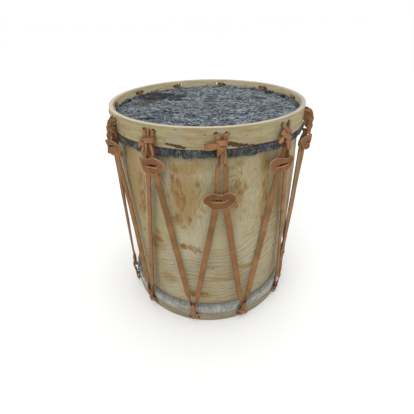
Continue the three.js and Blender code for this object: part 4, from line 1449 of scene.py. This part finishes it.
# Each outline goes round a tab in millimetres about its middle. "slit" is the cut that its strap
# goes through, as (left end, right end, half height at the left, at the right), "bow" is how far
# its top edge stands away from the drum, and "lip" is the raised edge under the slit.
TAB_FORMS = {
    "winged": {
        "outline": [
            (-32.6, 6.3), (-27.1, 12.6), (-18.1, 18.7), (-14.2, 19.2), (-2.5, 13.5), (3.7, 13.7),
            (8.7, 18.3), (14.4, 18.3), (23, 11.7), (26.6, 4.5), (26.7, -0.1), (20.3, -8.7),
            (12.4, -14.6), (8.4, -17), (-1.4, -17.4), (-13.3, -17.5), (-18.5, -14.7), (-26, -6.9),
            (-31.5, -2.1),
        ],
        "slit": ((-17.4, 1.4), (2.6, -0.6), 1.5, 1.3), "bow": 5,
        "lip": [(-17.5, -1.2), (-12, -2.9), (-3, -3.9), (4, -3.2), (9.5, -0.6), (12.5, 2.6)],
    },
    "hooded": {
        "outline": [
            (-16.8, 19.6), (-17.6, 12.1), (-17.6, 1.7), (-16, -5.5), (-10.9, -10.4), (-2.2, -12.2),
            (3.7, -11.3), (11.8, -9.4), (18.5, -4.2), (29.4, 3.8), (30.8, 9.5), (30.9, 16.5),
            (28.6, 19.6), (24.3, 23.4), (18.3, 26), (9.9, 22.8), (1.3, 20.2), (-5.8, 18.4),
            (-11.9, 17.8),
        ],
        "slit": ((-7.4, 4.4), (16.6, 8), 0.9, 3.4), "bow": 4.2,
        "lip": [(-8, 2), (0, 2.2), (8, 2.4), (17, 3)],
    },
    "kidney": {
        "outline": [
            (-33.7, -2), (-35.6, 3.9), (-36.5, 9.5), (-33.6, 13), (-28.4, 15.7), (-16.6, 14.9),
            (-5.2, 11.7), (2.9, 9.4), (8.5, 10.7), (9.4, 13.1), (13.8, 12.7), (20.9, 5.2),
            (20.6, -1.4), (15.7, -6.9), (12.6, -11), (8, -14.6), (-1.1, -16), (-10.1, -16.5),
            (-20.4, -15.1), (-28, -10.1), (-31.3, -6.3),
        ],
        "slit": ((-19.6, -1.8), (9, -3), 2.2, 1.2), "bow": 5,
        "lip": [(-19, -5), (-10, -5.4), (0, -5.6), (9, -5)],
    },
    "leaf": {
        "outline": [
            (-13.8, 25.2), (-3.2, 29.6), (8.4, 31.2), (16.4, 27.8), (22, 19.9), (17.6, 8),
            (11.4, -0.8), (1, -5.7), (-9.5, -6.6), (-14.6, -5), (-22.3, -5.4), (-21.6, 1.1),
            (-17.5, 10.1), (-16.5, 17.6),
        ],
        "slit": ((-14.3, 11), (6.1, 16.6), 1.4, 1.6), "bow": 3.4, "stand": 1.4, "lip": [],
    },
    "curled": {
        "outline": [
            (19, 13), (30, 5), (31, -4), (26.5, -10), (24, -17.5), (16.5, -19), (6.3, -18),
            (-2.4, -12), (-9.4, -3), (-16.3, 3.5), (-22, 10), (-25, 17), (-20, 20), (-9, 17.5),
            (3, 18),
        ],
        "slit": ((13.4, -4.6), (19.6, -5.4), 2.6, 2.6), "bow": 8,
        "lip": [(11, -7.4), (16, -8.6), (21, -7.6)],
    },
}
# Which form each tab has, and the tab that the form was drawn at, whose lean it holds
TAB_FORM_OF = ["kidney", "leaf", "hooded", "winged", "kidney", "curled",
               "hooded", "winged", "kidney", "leaf", "winged"]
DRAWN_AT = {"winged": 3, "hooded": 2, "kidney": 4, "leaf": 1, "curled": 5}
# A plate that is turned a little on its legs, in degrees
PLATE_TURN = {1: 8}
LOWER_BOW = 2.5
BOW_LIMIT = 10.5
# The height above a plate's middle at which its bow has its full value
BOW_HEIGHT = 17.5
EDGE_EASE = 0.7
# The raised lip's width and thickness, and the strap's, with its gaps beside and behind the legs
LIP_WIDTH = 1.5
LIP_THICKNESS = 1.0
STRAP_THICKNESS = 1.5
STRAP_SIDE_GAP = 1.2
STRAP_BACK_GAP = 1.1


def tab(i, materials):
    """A leather tab: a bowed plate with a slit, and the strap behind it round both lace legs."""
    form = TAB_FORMS[TAB_FORM_OF[i]]
    angle, facing = TOP_ANGLES[i], TAB_FACINGS[i] * 90
    tilt = math.radians((TAB_TILTS[i] - TAB_TILTS[DRAWN_AT[TAB_FORM_OF[i]]]) * 90)
    stand = place(0, TAB_RADIUS, TAB_HEIGHTS[i], angle)
    seed = i * 2.3
    plate_facing = angle + facing + PLATE_TURN.get(i, 0)
    (left_x, left_z), (right_x, right_z), left_half, right_half = form["slit"]

    def surface(x, z, out):
        """A point of the plate, bowed away from the drum at its top and bottom."""
        share = z / BOW_HEIGHT
        bow = (form["bow"] if z > 0 else LOWER_BOW) * share * share
        at = Vector((x, z, seed))
        bow = min(bow, BOW_LIMIT) + 0.6 * noise.noise(at / 13) + 0.2 * noise.noise(at / 5)
        lean = x * math.cos(tilt) + z * math.sin(tilt)
        rise = z * math.cos(tilt) - x * math.sin(tilt)
        away = PLATE_BACK + form.get("stand", 0) + bow + out
        return stand + turn(lean, away, rise, plate_facing) * MM

    outline = curved(form["outline"], 4, True)
    count = len(outline)
    middle = np.array([(left_x + right_x) / 2, (left_z + right_z) / 2])
    half_slit = np.array([right_x - left_x, right_z - left_z]) / 2
    upright = np.array([-half_slit[1], half_slit[0]]) / np.linalg.norm(half_slit)
    slit, below = [], []
    for x, z in outline:
        swing = math.atan2(z - middle[1], (x - middle[0]) * 0.62)
        half = left_half + (right_half - left_half) * (1 + math.cos(swing)) / 2
        blunt = math.copysign(abs(math.sin(swing)) ** 0.6, math.sin(swing))
        slit.append(middle + half_slit * math.cos(swing) + upright * half * blunt)
        below.append(math.sin(swing) < 0.1)

    # Layers go from the slit's wall over the front, round the edge and along the back to the slit
    front, shares = TAB_THICKNESS, [0.06, 0.16, 0.3, 0.45, 0.6, 0.74, 0.86, 0.94]
    layers = [(0, front - EDGE_EASE), (0.015, front)] + [(share, front) for share in shares]
    layers += [(0.975, front), (1, front - EDGE_EASE), (1, EDGE_EASE), (0.975, 0)]
    layers += [(share, 0) for share in reversed(shares)] + [(0.015, 0), (0, EDGE_EASE)]
    edge = len(shares) + 2
    points, faces, kinds = [], [], []
    for share, out in layers:
        for j in range(count):
            x, z = slit[j] * (1 - share) + outline[j] * share
            # The slit's lips are pulled, the upper one in and the lower one out
            lip = math.exp(-((share / 0.16) ** 2))
            points.append(surface(x, z, out + lip * (0.5 if below[j] else -0.5)))
    for a in range(len(layers)):
        b = (a + 1) % len(layers)
        for j in range(count):
            n = (j + 1) % count
            faces.append((a * count + j, a * count + n, b * count + n, b * count + j))
            # The slit's walls and the rounding of its upper lip take the third material, painted shade
            if edge <= a + 1 <= edge + 3 or a < 2 and below[j]:
                kinds.append(1)
            else:
                kinds.append(2 if a in (0, len(layers) - 1, len(layers) - 2) else 0)
    mesher = Mesher()
    mesher.add(points, faces, kinds)

    def strip_on_plate(line, out, width, thick, *ribbon_values, **named_values):
        rows = []
        for x, z in line:
            at, above = surface(x, z, out), surface(x, z + 1, out)
            rows.append((at, above - at, width * MM, thick * MM))
        ribbon(mesher, rows, *ribbon_values, **named_values)

    # The raised lip under the slit
    if form["lip"]:
        strip_on_plate(form["lip"], TAB_THICKNESS + 0.25, LIP_WIDTH, LIP_THICKNESS, 4, crown=0.3,
                       rough=0.2, seed=seed + 3, kind=1)
    # What shows through the slit is a dark strip of painted shade, standing for the strap's back in shadow
    line = [(left_x + (right_x - left_x) * share, left_z + (right_z - left_z) * share)
            for share in (-0.18, 0.2, 0.5, 0.8, 1.18)]
    strip_on_plate(line, -0.1, 8.5, 0.9, 3, rough=0.1, seed=seed + 5, kind=2)

    # The strap itself, from one side of the plate's back round behind the legs to the other
    reach = (LEG_SPACING + LACE_WIDTH) / 2 + STRAP_SIDE_GAP
    depth = LACE_THICKNESS / 2 + STRAP_BACK_GAP
    half = [(reach * 0.72, depth + 0.3), (reach, depth * 0.7), (reach + 0.3, -depth * 0.3),
            (reach - 1.6, -depth), (reach * 0.4, -depth - 0.1)]
    rows = [(stand + turn(x, out, 0, angle + facing) * MM, Vector((0, 0, 1)),
             (SLEEVE_HEIGHT - 1) * MM, STRAP_THICKNESS * MM)
            for x, out in [(-x, out) for x, out in half] + half[::-1]]
    ribbon(mesher, rows, 3, rough=0.3, seed=seed)
    made = mesher.build(f"tab_plate_{i + 1}", materials)
    finish_piece(made, f"tab_{i + 1}", f"tension_tab_{i + 1}")


# The whole

def floor():
    mesh = bpy.data.meshes.new("floor")
    shape = bmesh.new()
    bmesh.ops.create_circle(shape, cap_ends=True, segments=96, radius=60)
    shape.to_mesh(mesh)
    shape.free()
    mesh.materials.append(floor_paper())
    linked("floor", mesh)


make_camera()
make_light()
floor()

trunk()
counter_hoop(True)
counter_hoop(False)
heads()
flesh_wood = hidden_wood()
for node_name in ("top_flesh_hoop", "bottom_flesh_hoop"):
    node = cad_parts[node_name]
    node.data.materials.clear()
    node.data.materials.append(flesh_wood)

# Where the lace and a tab are darker, as (angle, height, half width, half height)
DARKER_LACE = [(-23, 322, 16, 56), (-6, 404, 5, 20), (1, 270, 12, 40)]
DARKER_TAB = [(6, 345, 52, 44)]
TAN_LEATHER = (133, 101, 64)
# The lace's cut edges are a darker brown: painted shade, for the thin shadow along each leg's edge
lace([leather("lace leather", TAN_LEATHER, 0.6, worn=DARKER_LACE),
      leather("lace cut edge painted shade", (112, 82, 52), 0.4)])
beckets([leather("becket leather", (141, 103, 70), 0.2),
         leather("becket cut edge", (112, 74, 48), 0.2)])
# The third tab leather is painted shade, for the slit's walls and the strip behind it
tab_leathers = [leather("tab leather", (124, 85, 52), 0.5, worn=DARKER_TAB),
                leather("tab cut edge", TAN_LEATHER, 0.2, seam=True),
                leather("tab slit shade", (58, 36, 22), 0.1)]
for number in range(ATTACHMENTS):
    tab(number, tab_leathers)
